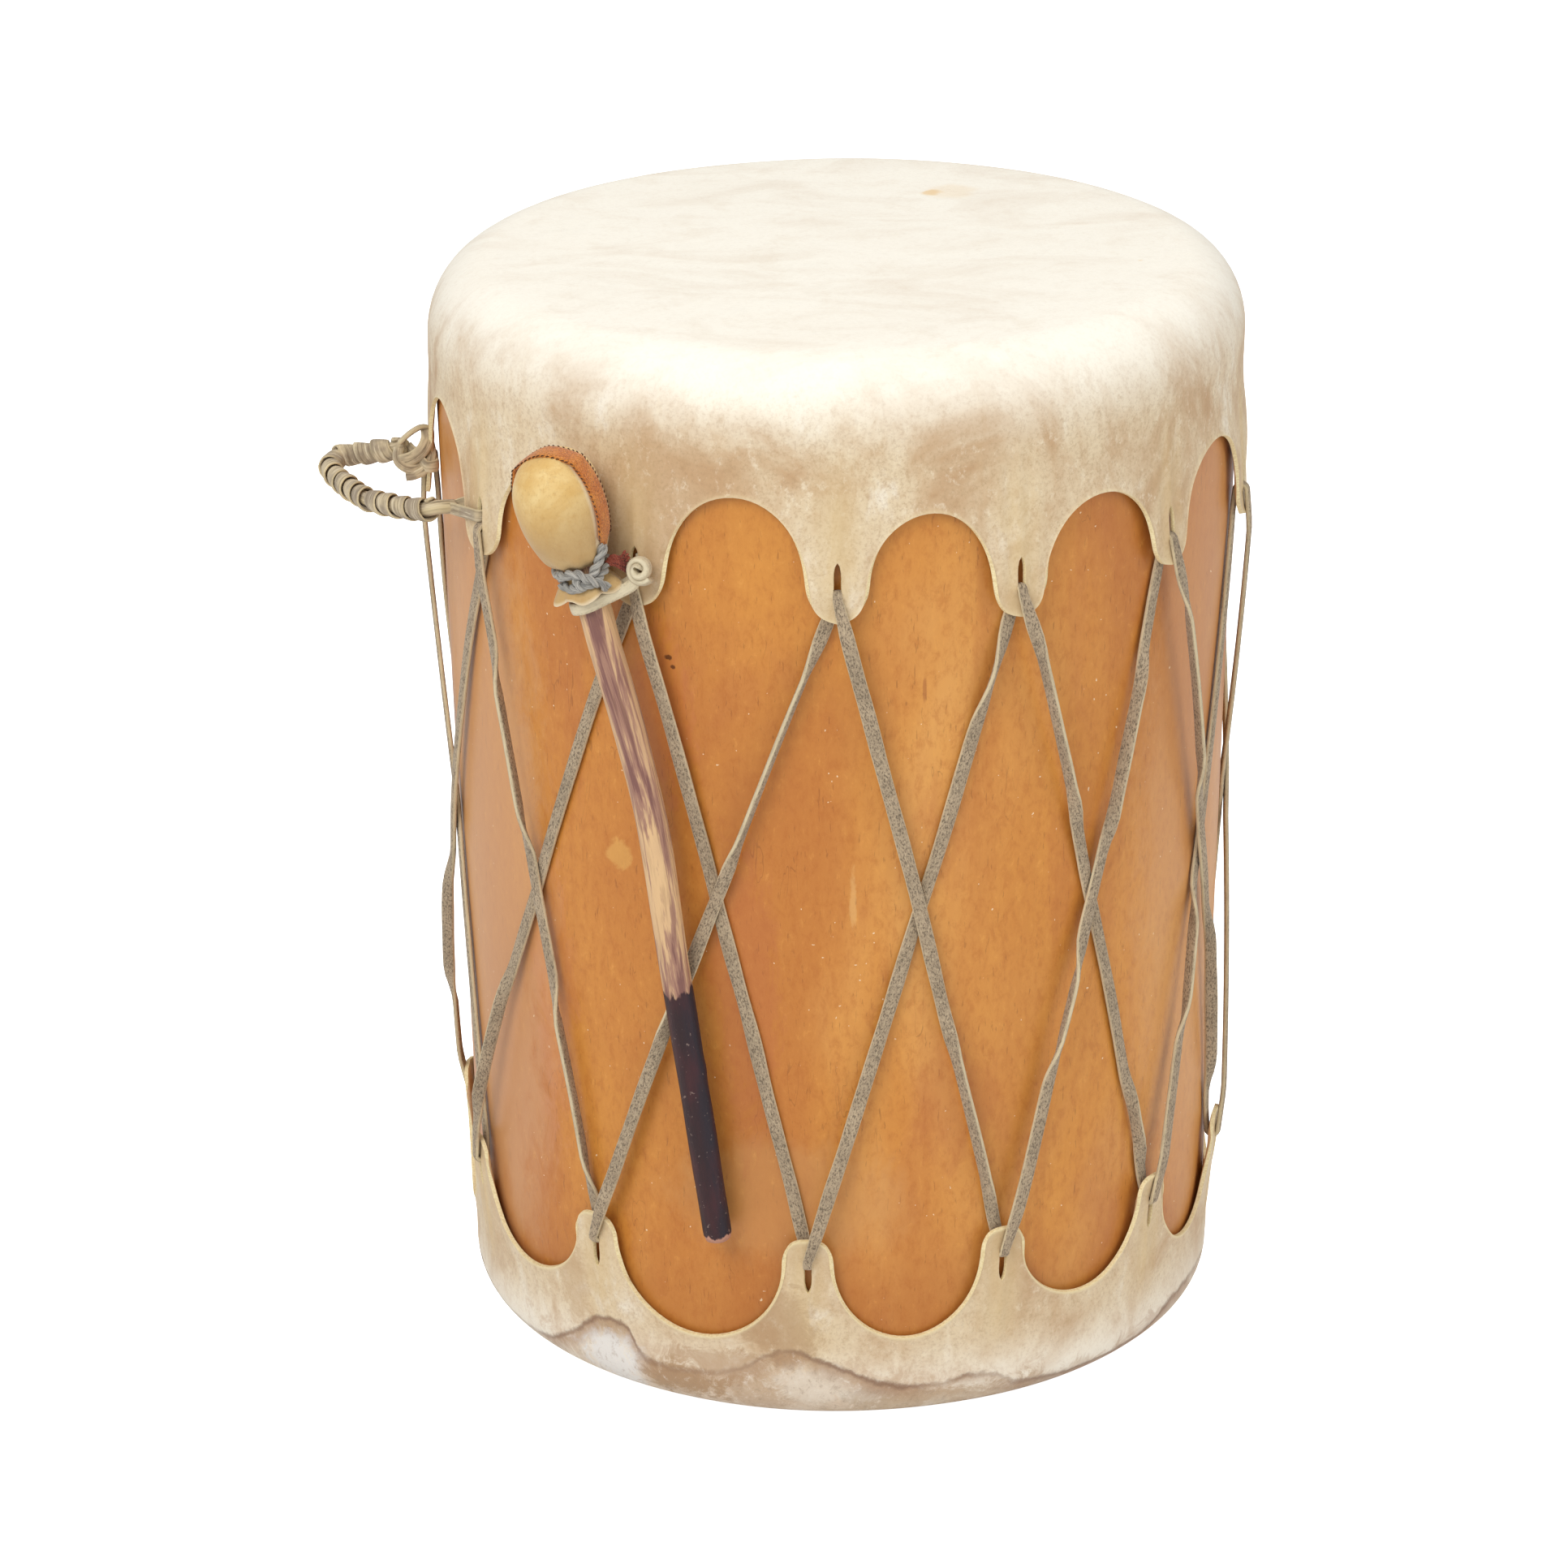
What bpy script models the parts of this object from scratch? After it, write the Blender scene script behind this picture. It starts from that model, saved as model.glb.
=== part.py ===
"""A ceremonial log drum: a hollowed log with a rawhide head at each end.

One rawhide lace zigzags between the slit tabs of the two heads and holds
them on. A thong-wrapped handle is looped through two top tabs, and a padded
beater hangs in a thong loop from a third.

Metres, +Z up. The origin is the centre of the drum's base. An azimuth is in
degrees, 0 at -Y (the front) and growing towards +X. A depth is measured from
the end of the drum that a head covers. What hangs beside the drum is placed by
its azimuth, its distance out from the wood and its depth below the top.
"""

import math

import bmesh
import bpy
from mathutils import Matrix, Vector

MM = 0.001
GAP = 0.3 * MM                      # between pieces that touch
MERGE = 0.01 * MM                   # points nearer than this are one

# The log
DRUM_HEIGHT = 485 * MM              # over both heads
WOOD_RADIUS_BOTTOM = 165.6 * MM     # of the outer side, carried on to the base
WOOD_RADIUS_TOP = 176.6 * MM        # and to the top
WALL = 27 * MM
ROUND_SEGMENTS = 44                 # sides of every turned wall
RIM_STEPS = 3

# The rawhide heads
SKIN = 1.8 * MM                     # thickness of the dried hide
TOP_EDGE = (26 * MM, 30 * MM)       # rounding of the rim, across and down
BOTTOM_EDGE = (17 * MM, 17 * MM)
TOP_FLARE_DEPTH = 47 * MM           # where the skirt starts to stand off
BOTTOM_FLARE_DEPTH = 34 * MM
# Each tab: azimuth, width, depth of its tip, depth of the scallop after it
TOP_TABS = (
    (-87.0, 24 * MM, 106 * MM, 49 * MM),
    (-57.5, 27 * MM, 106 * MM, 57 * MM),
    (-27.9, 24 * MM, 108 * MM, 55 * MM),
    (0.0, 22 * MM, 109 * MM, 62 * MM),
    (25.0, 21 * MM, 112 * MM, 65 * MM),
    (51.5, 22 * MM, 107 * MM, 62 * MM),
    (79.0, 23 * MM, 110 * MM, 60 * MM),
    (106.9, 22 * MM, 108 * MM, 58 * MM),
    (134.7, 24 * MM, 106 * MM, 61 * MM),
    (162.6, 22 * MM, 110 * MM, 57 * MM),
    (190.4, 23 * MM, 108 * MM, 60 * MM),
    (218.3, 21 * MM, 111 * MM, 58 * MM),
    (246.1, 23 * MM, 107 * MM, 56 * MM),
)
BOTTOM_TABS = (
    (-98.0, 22 * MM, 91 * MM, 44 * MM),
    (-70.0, 20 * MM, 92 * MM, 47 * MM),
    (-38.5, 20 * MM, 88 * MM, 39 * MM),
    (-4.8, 18 * MM, 92 * MM, 42 * MM),
    (24.0, 17 * MM, 91 * MM, 49 * MM),
    (52.5, 17 * MM, 91 * MM, 46 * MM),
    (79.0, 18 * MM, 91 * MM, 45 * MM),
    (105.1, 20 * MM, 89 * MM, 46 * MM),
    (131.3, 19 * MM, 92 * MM, 43 * MM),
    (157.4, 20 * MM, 90 * MM, 45 * MM),
    (183.6, 18 * MM, 91 * MM, 44 * MM),
    (209.7, 21 * MM, 88 * MM, 46 * MM),
    (235.9, 19 * MM, 91 * MM, 43 * MM),
)
SCALLOP_STEPS = 6
TIP_STEPS = 3
SLIT_TO_TIP = 15 * MM               # from the laced end of a slit to the tab's tip
SLIT_LENGTH = 14 * MM
STRAP_SLIT_LENGTH = 17 * MM         # where a thong goes through above the lace
STRAP_SLIT_HALF_WIDTH = 2.1 * MM
CUT_REACH = 12 * MM                 # of a cutter past the wall that it cuts

# The lace
LACE_WIDTH = 6.0 * MM
LACE_NECK = 3.8 * MM                # its width where a slit pinches it
LACE_THICKNESS = 2.4 * MM
LACE_START = 9                      # the top tab, at the back, where it is knotted
TURN_STEPS = 3
STRAND_TIP = 0.062                  # share of a strand that lies on a tab
CROSSING_SHARE = 0.045              # half the share of a strand that a crossing takes
OVER_AT_RISING = (0, 2, 4, 6, 8, 10, 12)   # tabs after which the rising strand is on top
KNOT_SIZE = (12 * MM, 7 * MM, 13 * MM)     # across, out, up
KNOT_SHARE = 0.13                   # how far down its strand the knot sits
TAIL_LENGTH = 26 * MM
TAIL_SPREAD = 0.35                  # of a tail's slope
TIP_ALLOWANCE = 2 * MM              # past a tab's tip, where the lace still stands off

# The carrying handle
HANDLE_RADIUS = 4.0 * MM
HANDLE_SIDES = 8
HANDLE_FRONT_TAB = 1
HANDLE_BACK_TAB = 0
# The middle line of its run outside the drum, from the front tab to the back one:
# azimuth, distance out from the wood, depth
HANDLE_ROUTE = (
    (-64.3, 7.1 * MM, 90.5 * MM),
    (-64.11, 14.4 * MM, 89.5 * MM),
    (-65.21, 19.9 * MM, 91.0 * MM),
    (-67.74, 24.8 * MM, 92.0 * MM),
    (-70.59, 30.1 * MM, 93.0 * MM),
    (-74.43, 36.1 * MM, 94.0 * MM),
    (-79.17, 41.2 * MM, 94.0 * MM),
    (-82.69, 45.6 * MM, 92.8 * MM),
    (-85.22, 47.5 * MM, 91.8 * MM),
    (-87.12, 44.7 * MM, 90.2 * MM),
    (-87.32, 39.2 * MM, 89.4 * MM),
    (-86.42, 33.3 * MM, 89.0 * MM),
    (-85.44, 26.5 * MM, 87.0 * MM),
    (-84.67, 19.1 * MM, 84.0 * MM),
)
STRAP_WIDTH = 5.0 * MM
STRAP_THICKNESS = 2.0 * MM
STRAP_RISE = 8.5 * MM               # its middle above the laced end of the slit
STRAP_TURN = 2.4 * MM               # radius of its fold round the edge of a slit
STRAP_CORNER = 3.0 * MM             # radius of its bend round the edge of a tab
STRAP_CLEARANCE = 3.2 * MM          # from the tab's edge to the start of that bend
LEG_SPREAD = 0.6                    # of a loop's two legs at its knot, in thicknesses
HANDLE_KNOT = (13 * MM, 10 * MM, 12 * MM)
HANDLE_TAIL = 18 * MM
HANDLE_TAIL_LEAN = (0.35, 0.2, -0.75)      # outwards, along the tab and up

# The beater
STICK_SIDES = 10
# Its middle line below the neck: azimuth, distance out, depth, radius
STICK_ROUTE = (
    (-31.11, 18.0 * MM, 112.5 * MM, 7.1 * MM),
    (-24.85, 16.3 * MM, 194.9 * MM, 7.0 * MM),
    (-21.82, 14.2 * MM, 276.0 * MM, 6.7 * MM),
    (-19.63, 12.0 * MM, 332.9 * MM, 6.5 * MM),
    (-17.28, 10.3 * MM, 392.6 * MM, 6.2 * MM),
)
NECK_PLACE = (-32.81, 20.0 * MM, 90.0 * MM)
HEAD_TOP_PLACE = (-36.03, 28.3 * MM, 39.0 * MM)
NECK_RADIUS = 8.9 * MM
PAD_RADIUS = 18.6 * MM
STICK_IN_PAD = 30 * MM
PAD_SIDES = 14
PAD_STEPS = 9
PAD_SWELL = 0.75                    # how full the padded end is: 1 is an ellipse
PAD_TAPER = (0.94, 0.12)            # of its radius at the neck, and what it gains to the top
PAD_START = 3.0 * MM                # where it starts to swell, above the neck
TIE_GROOVE = 2.4 * MM               # half the height of the groove for the tie
FRILL_RADIUS = 12.6 * MM
FRILL_DROP = 8.5 * MM
FRILL_THICKNESS = 1.5 * MM
FRILL_LIP = 1 * MM
GUSSET_WIDTH = 8 * MM
GUSSET_THICKNESS = 1.3 * MM
GUSSET_SIDE = Vector((0.85, -0.5, 0.0))    # the way that the strip faces
GUSSET_CLEARANCE = 0.25 * MM        # added to the gap, because both are faceted
TIE_CORD_RADIUS = 1.7 * MM
TIE_KNOT = (7 * MM, 6 * MM, 6 * MM)
TIE_KNOT_OUT = 1.6 * MM
TIE_SIDES = 6
LOOP_DROP = 19 * MM                 # of the hanging loop below the neck
LOOP_ARC = 260                      # degrees of the stick that it goes round
LOOP_STEPS = 8
LOOP_WIDTH = 5.0 * MM
LOOP_THICKNESS = 1.8 * MM
LOOP_TILT = 0.25                    # rise of the noose towards the button, in radii
BUTTON_PLACE = (-25.61, 12.4 * MM, 88.8 * MM)
BUTTON_TURN = 2                     # degrees that the button looks away from its tab
BUTTON_RADIUS = 6.3 * MM
BUTTON_THICKNESS = 8.0 * MM
BEATER_TAB = 2
LOOP_TUCK = 3 * MM                  # of the thong behind that tab
STEM_WIDTH = 3.0 * MM
STEM_STRAIGHT = 4 * MM              # of the thong before the slit

# How far the flats of a turned wall dip below its round
FACET_DIP = WOOD_RADIUS_TOP * (1 - math.cos(math.pi / ROUND_SEGMENTS))
ROUND = [(math.cos(math.tau * k / HANDLE_SIDES), math.sin(math.tau * k / HANDLE_SIDES))
         for k in range(HANDLE_SIDES)]
FLAT = [(-1, -1), (1, -1), (1, 1), (-1, 1)]
UP = Vector((0, 0, 1))


def clear_scene():
    for old in list(bpy.data.objects):
        bpy.data.objects.remove(old, do_unlink=True)


def finish(name, red, green, blue, roughness):
    """A plain material in sRGB values from 0 to 255."""
    material = bpy.data.materials.new(name)
    material.use_nodes = True
    shader = material.node_tree.nodes["Principled BSDF"]
    linear = [((value / 255 + 0.055) / 1.055) ** 2.4 for value in (red, green, blue)]
    shader.inputs["Base Color"].default_value = (*linear, 1)
    shader.inputs["Roughness"].default_value = roughness
    shader.inputs["Metallic"].default_value = 0
    return material


def add_object(name, bm, material=None):
    """Turn a bmesh into an object; one without a material is a cutter or a part to be joined."""
    bmesh.ops.recalc_face_normals(bm, faces=bm.faces)
    mesh = bpy.data.meshes.new(name)
    bm.to_mesh(mesh)
    bm.free()
    made = bpy.data.objects.new(name, mesh)
    bpy.context.scene.collection.objects.link(made)
    if material:
        mesh.materials.append(material)
        mesh.shade_smooth()
        mesh.set_sharp_from_angle(angle=math.radians(40))
    else:
        made.hide_render = True
        made.display_type = "WIRE"
    return made


def combine(base, other, operation):
    boolean = base.modifiers.new(f"{operation} {other.name}", "BOOLEAN")
    boolean.operation = operation
    boolean.solver = "EXACT"
    boolean.object = other


# Places on the drum


def wood_radius(height):
    return WOOD_RADIUS_BOTTOM + (WOOD_RADIUS_TOP - WOOD_RADIUS_BOTTOM) * height / DRUM_HEIGHT


def on_wood(azimuth, out, height):
    """The point at a distance out from the wood's side."""
    angle = math.radians(azimuth)
    radius = wood_radius(height) + out
    return Vector((radius * math.sin(angle), -radius * math.cos(angle), height))


def outward(azimuth):
    angle = math.radians(azimuth)
    return Vector((math.sin(angle), -math.cos(angle), 0))


def degrees_along(length, height):
    """The azimuth that a length round the drum takes up."""
    return math.degrees(length / wood_radius(height))


class Head:
    """One rawhide head: way is 1 at the top of the drum and -1 at its bottom."""

    def __init__(self, way, edge, flare_depth, tabs):
        self.way = way
        self.edge = edge
        self.flare_depth = flare_depth
        self.tabs = tabs
        self.tip_depth = max(tab[2] for tab in tabs)
        self.first_slit_depth = min(tab[2] for tab in tabs) - SLIT_TO_TIP

    def height(self, depth):
        return DRUM_HEIGHT - depth if self.way > 0 else depth

    def lift(self, depth):
        """How far the inside of the skirt stands off the wood."""
        full = 2 * GAP + LACE_THICKNESS + FACET_DIP
        share = (depth - self.flare_depth) / (self.first_slit_depth - self.flare_depth)
        return GAP + (full - GAP) * max(share, 0)

    def slit_depth(self, index):
        return self.tabs[index][2] - SLIT_TO_TIP

    def mid_skin(self, depth):
        return self.lift(depth) + (SKIN - FACET_DIP) / 2

    def rim(self, off):
        """The rounded edge, off the wood, from the flat end outwards to the straight side."""
        across, down = self.edge
        corner = wood_radius(self.height(down + SKIN)) - across
        line = []
        for step in range(RIM_STEPS + 1):
            angle = math.pi / 2 * step / RIM_STEPS
            depth = SKIN + GAP + down - (down + off) * math.cos(angle)
            line.append((corner + (across + off) * math.sin(angle), self.height(depth)))
        return line

    def side(self, depth, off):
        height = self.height(depth)
        return wood_radius(height) + off, height

    def place(self, azimuth, out, depth):
        return on_wood(azimuth, out, self.height(depth))


TOP = Head(1, TOP_EDGE, TOP_FLARE_DEPTH, TOP_TABS)
BOTTOM = Head(-1, BOTTOM_EDGE, BOTTOM_FLARE_DEPTH, BOTTOM_TABS)
NECK = TOP.place(*NECK_PLACE)
HEAD_TOP = TOP.place(*HEAD_TOP_PLACE)
BUTTON = TOP.place(*BUTTON_PLACE)
STICK = [(TOP.place(azimuth, out, depth), radius) for azimuth, out, depth, radius in STICK_ROUTE]


# Shapes


def turned(name, outline, sides, closed, material=None):
    """Spin an outline of (radius, height) round Z."""
    bm = bmesh.new()
    points = [bm.verts.new((radius, 0, height)) for radius, height in outline]
    lines = [bm.edges.new(pair) for pair in zip(points, points[1:])]
    if closed:
        lines.append(bm.edges.new((points[-1], points[0])))
    bmesh.ops.spin(bm, geom=points + lines, cent=(0, 0, 0), axis=(0, 0, 1), angle=math.tau,
                   steps=sides, use_merge=True)
    bmesh.ops.remove_doubles(bm, verts=bm.verts, dist=MERGE)
    return add_object(name, bm, material)


def skin(bm, rings, closed=False):
    """Join a row of rings of points with faces, with flat ends unless the row is closed."""
    rows = [[bm.verts.new(point) for point in ring] for ring in rings]
    pairs = list(zip(rows, rows[1:]))
    if closed:
        pairs.append((rows[-1], rows[0]))
    for row, following in pairs:
        for k in range(len(row)):
            bm.faces.new((row[k - 1], row[k], following[k], following[k - 1]))
    if not closed:
        bm.faces.new(rows[0])
        bm.faces.new(rows[-1])


def skinned(name, rings, closed=False, material=None):
    bm = bmesh.new()
    skin(bm, rings, closed)
    return add_object(name, bm, material)


def section_rings(points, facings, outline, sizes, closed=False):
    """Set an outline square to a line at each of its points.

    A facing is where the outline's second axis looks, and sizes holds the half
    size along both axes.
    """
    rings = []
    count = len(points)
    for k, (point, facing, (half_side, half_facing)) in enumerate(zip(points, facings, sizes)):
        before = points[k - 1] if closed or k > 0 else point
        after = points[(k + 1) % count] if closed or k < count - 1 else point
        along = (after - before).normalized()
        normal = (facing - along * along.dot(facing)).normalized()
        side = along.cross(normal)
        rings.append([point + side * half_side * a + normal * half_facing * b for a, b in outline])
    return rings


def lump(name, centre, size, facing, sides=8):
    """A rounded knot: size is across, out along facing, and up."""
    bm = bmesh.new()
    bmesh.ops.create_uvsphere(bm, u_segments=sides, v_segments=6, radius=0.5)
    bmesh.ops.scale(bm, vec=size, verts=bm.verts)
    turn = facing.to_track_quat("Y", "Z").to_matrix().to_4x4()
    bmesh.ops.transform(bm, matrix=Matrix.Translation(centre) @ turn, verts=bm.verts)
    return add_object(name, bm)


def strap(name, points, width, thickness, material=None, closed=False, facing=UP):
    """A flat thong whose width looks along facing."""
    size = (thickness / 2, width / 2)
    rings = section_rings(points, [facing] * len(points), FLAT, [size] * len(points), closed)
    return skinned(name, rings, closed, material)


# The log


def make_log():
    lower = BOTTOM.rim(0)
    upper = TOP.rim(0)
    inner_bottom = lower[-1][0] - WALL
    inner_top = upper[-1][0] - WALL
    outline = [(inner_bottom, lower[0][1]), *lower, *reversed(upper), (inner_top, upper[0][1])]
    return turned("log_shell", outline, ROUND_SEGMENTS, True, finish("log wood", 201, 138, 66, 0.4))


# The heads


def scallop_line(head):
    """The cut edge of a skirt as (azimuth, depth), tab by tab."""
    line = []
    tabs = head.tabs
    for k, (azimuth, width, tip, scallop) in enumerate(tabs):
        after = tabs[(k + 1) % len(tabs)]
        next_azimuth = after[0] + (360 if k == len(tabs) - 1 else 0)
        height = head.height(tip)
        half = degrees_along(width / 2, height)
        next_half = degrees_along(after[1] / 2, height)
        shoulder = tip - width / 2
        next_shoulder = after[2] - after[1] / 2
        for step in range(TIP_STEPS):
            angle = math.pi * step / TIP_STEPS
            line.append((azimuth - half * math.cos(angle), shoulder + width / 2 * math.sin(angle)))
        left, right = azimuth + half, next_azimuth - next_half
        for step in range(SCALLOP_STEPS):
            angle = math.pi * step / SCALLOP_STEPS
            share = (1 - math.cos(angle)) / 2
            base = shoulder + (next_shoulder - shoulder) * share
            line.append((left + (right - left) * share, base - (base - scallop) * math.sin(angle)))
    return line


def make_scallop_cutter(head, name):
    reach = CUT_REACH
    far = head.tip_depth + reach
    rings = []
    for azimuth, depth in scallop_line(head):
        near, end = head.height(depth), head.height(far)
        rings.append([on_wood(azimuth, -reach, near), on_wood(azimuth, reach + SKIN, near),
                      on_wood(azimuth, reach + SKIN, end), on_wood(azimuth, -reach, end)])
    return skinned(name, rings, closed=True)


def slit_outline(with_strap):
    """A slit that the lace pulls open at one end: (offset, distance from that end)."""
    lace_room = LACE_NECK / 2 + GAP
    pinch = LACE_THICKNESS * 1.5 + 2 * GAP
    half = [(lace_room, 0), (lace_room, pinch)]
    if with_strap:
        half.append((STRAP_SLIT_HALF_WIDTH, STRAP_RISE + STRAP_WIDTH / 2 + 2 * GAP))
    point = (0, STRAP_SLIT_LENGTH if with_strap else SLIT_LENGTH)
    return half + [point] + [(-x, y) for x, y in reversed(half)]


def make_slit_cutter(head, name, strap_tabs):
    bm = bmesh.new()
    for k, (azimuth, _, tip, _) in enumerate(head.tabs):
        rings = []
        for out in (-CUT_REACH, CUT_REACH + SKIN):
            ring = []
            for offset, rise in slit_outline(k in strap_tabs):
                height = head.height(tip - SLIT_TO_TIP - rise)
                ring.append(on_wood(azimuth + degrees_along(offset, height), out, height))
            rings.append(ring)
        skin(bm, rings)
    return add_object(name, bm)


def make_head(head, name, strap_tabs, material):
    inside = head.rim(GAP)
    outside = head.rim(GAP + SKIN)
    flare, tip = head.flare_depth, head.tip_depth + CUT_REACH / 2
    outline = [(0, outside[0][1]), *outside, head.side(flare, GAP + SKIN),
               head.side(tip, head.lift(tip) + SKIN), head.side(tip, head.lift(tip)),
               head.side(flare, GAP), *reversed(inside), (0, inside[0][1])]
    hide = turned(name, outline, ROUND_SEGMENTS, False, material)
    combine(hide, make_scallop_cutter(head, f"{name} scallops"), "DIFFERENCE")
    combine(hide, make_slit_cutter(head, f"{name} slits", strap_tabs), "DIFFERENCE")
    return hide


# The lace


def slit_turn(head, index):
    """The lace's fold through a slit, from behind the tab to its front."""
    azimuth = head.tabs[index][0]
    depth = head.slit_depth(index)
    height = head.height(depth)
    radius = (SKIN + FACET_DIP) / 2 + GAP + LACE_THICKNESS / 2
    route = []
    for step in range(TURN_STEPS + 1):
        angle = math.pi * step / TURN_STEPS
        point = on_wood(azimuth, head.mid_skin(depth) - radius * math.cos(angle), height)
        point.z = height + head.way * radius * math.sin(angle)
        facing = outward(azimuth) * head.way * math.cos(angle) - UP * math.sin(angle)
        route.append((point, facing, LACE_NECK))
    return route


def crossing_share(falling, index):
    """How far along its strand a crossing lies, for the pair that runs after tab index."""
    def pitch(head):
        first, second = head.tabs[index][0], head.tabs[(index + 1) % len(head.tabs)][0]
        return (second - first) % 360
    share = pitch(TOP) / (pitch(TOP) + pitch(BOTTOM))
    return share if falling else 1 - share


def strand(start, index, end, next_index):
    """The lace's straight run from the front of one tab to behind the next."""
    falling = start.way > 0
    azimuth = start.tabs[index][0]
    reach = (end.tabs[next_index][0] - azimuth + 180) % 360 - 180
    depth, end_depth = start.slit_depth(index), end.slit_depth(next_index)
    height, end_height = start.height(depth), end.height(end_depth)
    on_top = (index in OVER_AT_RISING) != falling
    flat = GAP + LACE_THICKNESS / 2
    crossing_out = flat + LACE_THICKNESS + 2 * GAP if on_top else flat
    tip_depth = start.tabs[index][2] + TIP_ALLOWANCE
    tip_out = start.lift(tip_depth) + SKIN + flat + GAP
    middle = crossing_share(falling, index)
    near, far = middle - CROSSING_SHARE, middle + CROSSING_SHARE
    stops = [(STRAND_TIP, tip_out), (near, crossing_out), (far, crossing_out),
             (1 - STRAND_TIP, flat)]
    shares = [STRAND_TIP + (near - STRAND_TIP) * k / 3 for k in range(4)]
    shares += [far + (1 - STRAND_TIP - far) * k / 3 for k in range(4)]
    route = []
    for share in shares:
        out = next(a[1] + (b[1] - a[1]) * (share - a[0]) / (b[0] - a[0])
                   for a, b in zip(stops, stops[1:]) if share <= b[0] + 1e-9)
        level = height + (end_height - height) * share
        here = azimuth + reach * share
        route.append((on_wood(here, out, level), outward(here) * -start.way, LACE_WIDTH))
    return route


def lace_route():
    route = []
    count = len(TOP_TABS)
    heads = (TOP, BOTTOM)
    for step in range(2 * count):
        index, next_index = (LACE_START + step) % count, (LACE_START + step + 1) % count
        start, end = heads[step % 2], heads[(step + 1) % 2]
        route += slit_turn(start, index)
        route += strand(start, index, end, next_index)
    return route


def make_lace():
    route = lace_route()
    points = [stop[0] for stop in route]
    sizes = [(stop[2] / 2, LACE_THICKNESS / 2) for stop in route]
    rings = section_rings(points, [stop[1] for stop in route], FLAT, sizes, closed=True)
    lace = skinned("lace", rings, True, finish("lace", 158, 143, 114, 0.85))
    down = strand(TOP, LACE_START, BOTTOM, LACE_START + 1)
    knot_place = down[0][0].lerp(down[1][0], KNOT_SHARE * 3)
    facing = outward(TOP_TABS[LACE_START][0])
    combine(lace, lump("lace knot", knot_place, KNOT_SIZE, facing), "UNION")
    across = UP.cross(facing)
    for way in (-1, 1):
        tip = knot_place + (across * way * TAIL_SPREAD - UP) * TAIL_LENGTH + facing * GAP
        tail = strap(f"lace tail {way}", [knot_place, knot_place.lerp(tip, 0.5), tip],
                     LACE_NECK, LACE_THICKNESS, facing=across)
        combine(lace, tail, "UNION")
    return lace


# The handle


def strap_loop(index, way, join, lies_on_tab):
    """A thong from a joining point through a tab's slit and back round the tab's edge.

    way is -1 where it goes round the tab's left edge and 1 for the right one. It comes
    to the slit along the tab's face, or else straight in.
    """
    azimuth, width = TOP_TABS[index][:2]
    depth = TOP.slit_depth(index) - STRAP_RISE
    height = TOP.height(depth)
    middle = TOP.mid_skin(depth)
    behind = middle - STRAP_TURN
    leg = outward(azimuth) * STRAP_THICKNESS * LEG_SPREAD

    def beside(length, out):
        return on_wood(azimuth + way * degrees_along(length, height), out, height)

    points = [join + leg]
    if not lies_on_tab:
        points.append(beside(0, middle + 2 * STRAP_TURN))
    for angle in map(math.radians, range(0 if lies_on_tab else 90, 181, 45)):
        points.append(beside(STRAP_TURN * (1 - math.sin(angle)),
                             middle + STRAP_TURN * math.cos(angle)))
    edge = width / 2 + STRAP_CLEARANCE
    points.append(beside(edge / 2, behind))
    for angle in map(math.radians, range(0, 61 if lies_on_tab else 121, 60)):
        points.append(beside(edge + STRAP_CORNER * math.sin(angle),
                             behind + STRAP_CORNER * (1 - math.cos(angle))))
    return points + [join - leg]


def make_handle():
    route = [TOP.place(*stop) for stop in HANDLE_ROUTE]
    size = (HANDLE_RADIUS, HANDLE_RADIUS)
    rings = section_rings(route, [UP] * len(route), ROUND, [size] * len(route))
    handle = skinned("handle", rings, material=finish("handle thong", 182, 166, 134, 0.8))
    ends = ((HANDLE_FRONT_TAB, -1, route[0], True), (HANDLE_BACK_TAB, 1, route[-1], False))
    for index, way, join, lies_on_tab in ends:
        points = strap_loop(index, way, join, lies_on_tab)
        loop = strap(f"handle loop {index}", points, STRAP_WIDTH, STRAP_THICKNESS)
        combine(handle, loop, "UNION")
    knot = route[-1]
    facing = Vector((knot.x, knot.y, 0)).normalized()
    combine(handle, lump("handle knot", knot, HANDLE_KNOT, facing), "UNION")
    along = UP.cross(facing)
    out_lean, side_lean, up_lean = HANDLE_TAIL_LEAN
    tail_end = knot + (facing * out_lean + along * side_lean + UP * up_lean) * HANDLE_TAIL
    tail = strap("handle tail", [knot, knot.lerp(tail_end, 0.5), tail_end],
                 STRAP_WIDTH, STRAP_THICKNESS, facing=along)
    combine(handle, tail, "UNION")
    return handle


# The beater


def beater_axis():
    return (HEAD_TOP - NECK).normalized()


def pad_outline():
    """The padded end's outer line as (radius, distance above the neck)."""
    length = (HEAD_TOP - NECK).length
    first, gain = PAD_TAPER
    line = [(NECK_RADIUS, -TIE_GROOVE), (NECK_RADIUS, TIE_GROOVE)]
    for step in range(1, PAD_STEPS):
        angle = math.pi * step / PAD_STEPS
        share = (1 - math.cos(angle)) / 2
        swell = math.sin(angle) ** PAD_SWELL * PAD_RADIUS * (first + gain * share)
        line.append((max(swell, NECK_RADIUS), PAD_START + (length - PAD_START) * share))
    return line + [(0, length)]


def beater_place():
    turn = beater_axis().to_track_quat("Z", "Y").to_matrix().to_4x4()
    return Matrix.Translation(NECK) @ turn


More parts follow.
